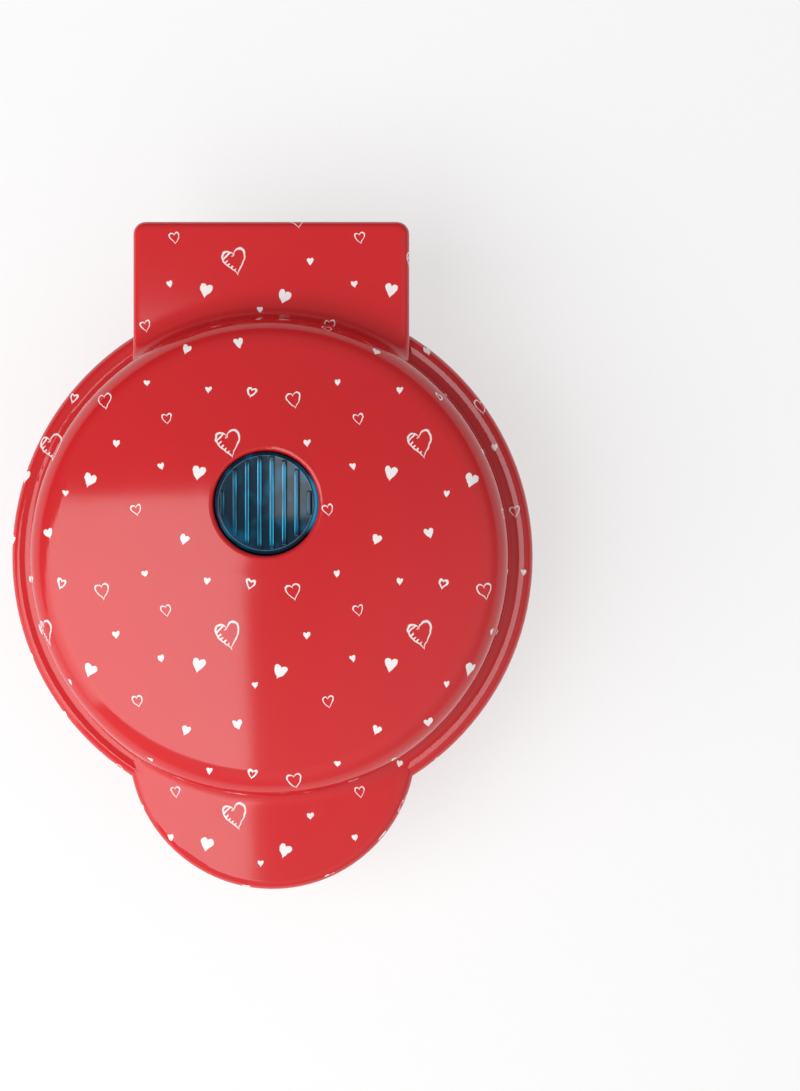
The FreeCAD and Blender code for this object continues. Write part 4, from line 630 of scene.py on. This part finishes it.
blue_lens, tree, shader = new_finish(
    "blue_lens_painted_highlights", Roughness=0.15, Specular_IOR_Level=0.36, Emission_Strength=1.0,
)
lens_point = stretched(tree, tree.nodes.new("ShaderNodeTexCoord").outputs["Object"], MILLIMETRES)
lens_point = vectors(tree, "SUBTRACT", lens_point, LENS_CENTRE)
across, along, _ = split(tree, lens_point)
lens_reach = vectors(tree, "LENGTH", joined(tree, across, along))
from_rib = maths(tree, "FRACT", maths(tree, "DIVIDE", across, RIB_PITCH))
from_rib = maths(tree, "MULTIPLY", maths(tree, "SUBTRACT", from_rib, 0.5), RIB_PITCH)
rib_side = maths(tree, "ABSOLUTE", from_rib)
# Painted highlights: a bright line on both flanks of each rib, and faint light inside it, stand in for
# the light that the ribs refract. The outer flanks, the rib ends and random streaks get less of it.
painted_flank_light = maths(tree, "ABSOLUTE", maths(tree, "SUBTRACT", rib_side, RIB_FLANK))
painted_flank_light = ramp(tree, painted_flank_light, *RIB_HIGHLIGHT_EDGE, 1.0, 0.0)
outward = maths(tree, "GREATER_THAN", maths(tree, "MULTIPLY", from_rib, across), 0.0)
off_middle = maths(tree, "ABSOLUTE", across)
flank_loss = ramp(tree, off_middle, *OUTER_FLANK, 0.0, OUTER_FLANK_LOSS)
flank_loss = maths(tree, "MULTIPLY", outward, flank_loss)
painted_flank_light = maths(tree, "MULTIPLY", painted_flank_light, maths(tree, "SUBTRACT", 1.0, flank_loss))
core = ramp(tree, rib_side, RIB_FLANK, RIB_FLANK + RIB_HIGHLIGHT_EDGE[1], RIB_CORE_PAINTED_LIGHT, 0.0)
rib_painted_light = maths(tree, "MAXIMUM", painted_flank_light, core)
rib_painted_light = maths(tree, "MULTIPLY", rib_painted_light, ramp(tree, lens_reach, *RIBS_END, 1.0, 0.0))
streaks = noise(tree, vectors(tree, "MULTIPLY", lens_point, STREAK_SCALE), 1.0)
rib_painted_light = maths(tree, "MULTIPLY", rib_painted_light, ramp(tree, streaks, *STREAK_RANGE, *STREAK_LEVEL))
print("ribs every", RIB_PITCH, "mm, lines", 2 * RIB_FLANK, "mm apart")

# %% colour, painted glow and highlights, and hollow face of the lens
LENS_DARK = screen_colour(0, 38, 58)
LENS_TEAL = screen_colour(2, 76, 106)
LENS_PAINTED_HIGHLIGHT = screen_colour(58, 190, 236)
LENS_PAINTED_GLOW = screen_colour(20, 112, 150)
LENS_BEVEL_HIGHLIGHT = screen_colour(92, 128, 150)
PAINTED_GLOW_RIM = (11.1, 11.6)
PAINTED_GLOW_SIDE = (9.3, 11.4)
PAINTED_GLOW_LEVEL = 0.5
BEVEL_HIGHLIGHT_REACH = 11.0
BEVEL_HIGHLIGHT_EDGE = (0.04, 0.18)
BEVEL_HIGHLIGHT_LEVEL = 0.5
CLOUD_FINENESS = 0.2
CLOUD_EDGE = (0.48, 0.72)
LENS_HOLLOW = 45.0
UNLIT = (0.0, 0.0, 0.0, 1.0)

cloud = ramp(tree, noise(tree, lens_point, CLOUD_FINENESS, detail=1.0), *CLOUD_EDGE)
# Painted glow on the rim of the lens, on its right side only, where light comes through that edge.
painted_right_glow = ramp(tree, across, *PAINTED_GLOW_SIDE, 0.0, PAINTED_GLOW_LEVEL)
painted_edge_glow = maths(tree, "MULTIPLY", ramp(tree, lens_reach, *PAINTED_GLOW_RIM), painted_right_glow)
# Painted highlight: a thin pale ring where the bevel of the lens catches the light.
painted_bevel_highlight = maths(tree, "ABSOLUTE", maths(tree, "SUBTRACT", lens_reach, BEVEL_HIGHLIGHT_REACH))
painted_bevel_highlight = ramp(tree, painted_bevel_highlight, *BEVEL_HIGHLIGHT_EDGE, BEVEL_HIGHLIGHT_LEVEL, 0.0)
lens_painted_light = maths(tree, "MAXIMUM", rib_painted_light, painted_edge_glow)
lens_colour = blended(tree, cloud, LENS_DARK, LENS_TEAL)
lens_colour = blended(tree, painted_bevel_highlight, lens_colour, LENS_BEVEL_HIGHLIGHT)
# The painted highlights lighten the base colour and also glow as emission, though the lamp under the
# lens is not lit.
feed(tree, shader.inputs["Base Color"], blended(tree, lens_painted_light, lens_colour, LENS_PAINTED_HIGHLIGHT))
feed(tree, shader.inputs["Emission Color"], blended(tree, lens_painted_light, UNLIT, LENS_PAINTED_GLOW))
dish = maths(tree, "DIVIDE", maths(tree, "MULTIPLY", lens_reach, lens_reach), 2 * LENS_HOLLOW)
raise_skin(tree, shader, dish, strength=1.0, depth=1.0 / MILLIMETRES)
wear(blue_lens, "indicator_lens")

# %% [markdown]
# ## Cooking plates and hot parts
# The plates are cast aluminium with a dark non-stick coat: fine cast grain, a soft satin sheen and tiny
# paler specks in the coating. The heating ring behind them is a steel sheath that heat has tinted
# straw and brown. Beads of unglazed ceramic keep its ends apart, and a bright pressed sheet
# reflects the heat.

# %% non-stick plates
nonstick, tree, shader = new_finish("nonstick_coat")
grain = placed(tree, fired_speckle, Dots=1500.0, Share=0.12, Gloss=0.38, Spread=0.25)
two_tone(tree, shader, grain, "Dot", screen_colour(44, 43, 44), screen_colour(74, 72, 71))
raise_skin(tree, shader, grain["Height"], strength=0.3, depth=0.0001)
wear(nonstick, "lower_cooking_plate", "upper_cooking_plate")

# %% heating rings, beads and reflectors
sheath, tree, shader = new_finish("heat_tinted_sheath", Metallic=1.0)
drawn = placed(tree, drawn_lines, Gloss=0.42, Spread=0.2)
two_tone(tree, shader, drawn, "Tone", screen_colour(150, 146, 140), screen_colour(122, 101, 78))
raise_skin(tree, shader, drawn["Height"], strength=0.15, depth=0.00005)
wear(sheath, "lower_heating_element", "upper_heating_element")

bead, tree, shader = new_finish("bead_ceramic_unglazed")
grain = placed(tree, fired_speckle, Dots=1600.0, Share=0.1, Gloss=0.72, Spread=0.1)
two_tone(tree, shader, grain, "Dot", screen_colour(232, 228, 216), screen_colour(176, 160, 138))
raise_skin(tree, shader, grain["Height"], strength=0.3, depth=0.0001)
wear(bead, "lower_element_beads", "upper_element_beads")

reflector, tree, shader = new_finish("reflector_bright_sheet", Metallic=1.0)
drawn = placed(tree, drawn_lines, Stretch=(1.0, 0.05, 1.0), Fineness=1800.0, Gloss=0.24, Spread=0.12)
two_tone(tree, shader, drawn, "Tone", screen_colour(206, 207, 210), screen_colour(226, 226, 226))
raise_skin(tree, shader, drawn["Height"], strength=0.1, depth=0.00003)
wear(reflector, "lower_reflector", "upper_reflector")

# %% [markdown]
# ## Small parts
# Screws, pins and the fuse clip are zinc-plated steel, with a faint turned grain. Feet, the bush of
# the mains inlet and the lens gasket are matt rubber. Inside, the thermostat is dark moulded resin,
# the terminal block and the lens holder are pale plastic, and the leads wear a woven sleeve.

# %% steel, rubber and resin
steel, tree, shader = new_finish("steel_zinc_plated", Metallic=1.0)
drawn = placed(tree, drawn_lines, Stretch=(1.0, 1.0, 0.1), Fineness=3200.0, Gloss=0.3, Spread=0.18)
two_tone(tree, shader, drawn, "Tone", screen_colour(186, 188, 190), screen_colour(208, 206, 200))
raise_skin(tree, shader, drawn["Height"], strength=0.1, depth=0.00003)
wear(
    steel,
    "base_plate_screws", "lower_frame_screws", "upper_frame_screws",
    "lower_plate_screws", "upper_plate_screws", "lower_reflector_screws", "upper_reflector_screws",
    "thermostat_screws", "fuse_clip", "fuse_clip_screw", "terminal_screws", "lens_retainer_screws",
    "left_hinge_pin", "right_hinge_pin", "lower_element_pins", "upper_element_pins", "thermal_fuse",
)

rubber, tree, shader = new_finish("black_rubber_matt")
skin = placed(tree, moulded_skin, Grain=2600.0, Gloss=0.72, Spread=0.2)
two_tone(tree, shader, skin, "Tone", screen_colour(28, 28, 29), screen_colour(40, 39, 39))
raise_skin(tree, shader, skin["Height"], strength=0.4, depth=0.0001)
wear(rubber, "front_feet", "back_feet", "cord_gland", "lens_gasket")

resin, tree, shader = new_finish("dark_resin_moulded")
skin = placed(tree, moulded_skin, Grain=1500.0, Gloss=0.4, Spread=0.15)
two_tone(tree, shader, skin, "Tone", screen_colour(58, 46, 40), screen_colour(72, 58, 50))
raise_skin(tree, shader, skin["Height"], strength=0.25, depth=0.00006)
wear(resin, "thermostat")

# %% pale plastic and the lamp's glass
ivory, tree, shader = new_finish("pale_plastic_natural")
skin = placed(tree, moulded_skin, Grain=1700.0, Gloss=0.46, Spread=0.12)
two_tone(tree, shader, skin, "Tone", screen_colour(228, 222, 208), screen_colour(236, 232, 222))
raise_skin(tree, shader, skin["Height"], strength=0.25, depth=0.00006)
wear(ivory, "terminal_block", "lens_retainer")

lamp_glass, tree, shader = new_finish("lamp_glass_clear", Transmission_Weight=0.85, IOR=1.47)
skin = placed(tree, moulded_skin, Grain=700.0, Gloss=0.05, Spread=0.03)
two_tone(tree, shader, skin, "Tone", screen_colour(244, 240, 234), screen_colour(250, 248, 246))
wear(lamp_glass, "indicator_lamp")

# %% woven sleeve of the leads
STRANDS = 1400.0

sleeve, tree, shader = new_finish("lead_sleeve_woven", Roughness=0.85)
sleeve_point = stretched(tree, tree.nodes.new("ShaderNodeTexCoord").outputs["Object"], STRANDS)
strand_x, strand_y, strand_z = split(tree, sleeve_point)
over = maths(tree, "SINE", maths(tree, "ADD", maths(tree, "ADD", strand_x, strand_y), strand_z))
under = maths(tree, "SINE", maths(tree, "ADD", maths(tree, "SUBTRACT", strand_x, strand_y), strand_z))
weave = maths(tree, "MULTIPLY_ADD", maths(tree, "MULTIPLY", over, under), 0.5, 0.5)
yarn = blended(tree, weave, screen_colour(190, 188, 180), screen_colour(226, 224, 216))
feed(tree, shader.inputs["Base Color"], yarn)
raise_skin(tree, shader, weave, strength=0.5, depth=0.0002)
wear(sleeve, "base_leads", "lid_leads")

# %% [markdown]
# ## The last look
# Every part should now wear a finish of its own, and the object should be exactly as large as the solid
# parts were. The first is quick to prove: the last cell prints the parts that have no finish.

# %% check and finish
plain = sorted(set(parts) - set(dressed))
print("parts without a finish:", plain)
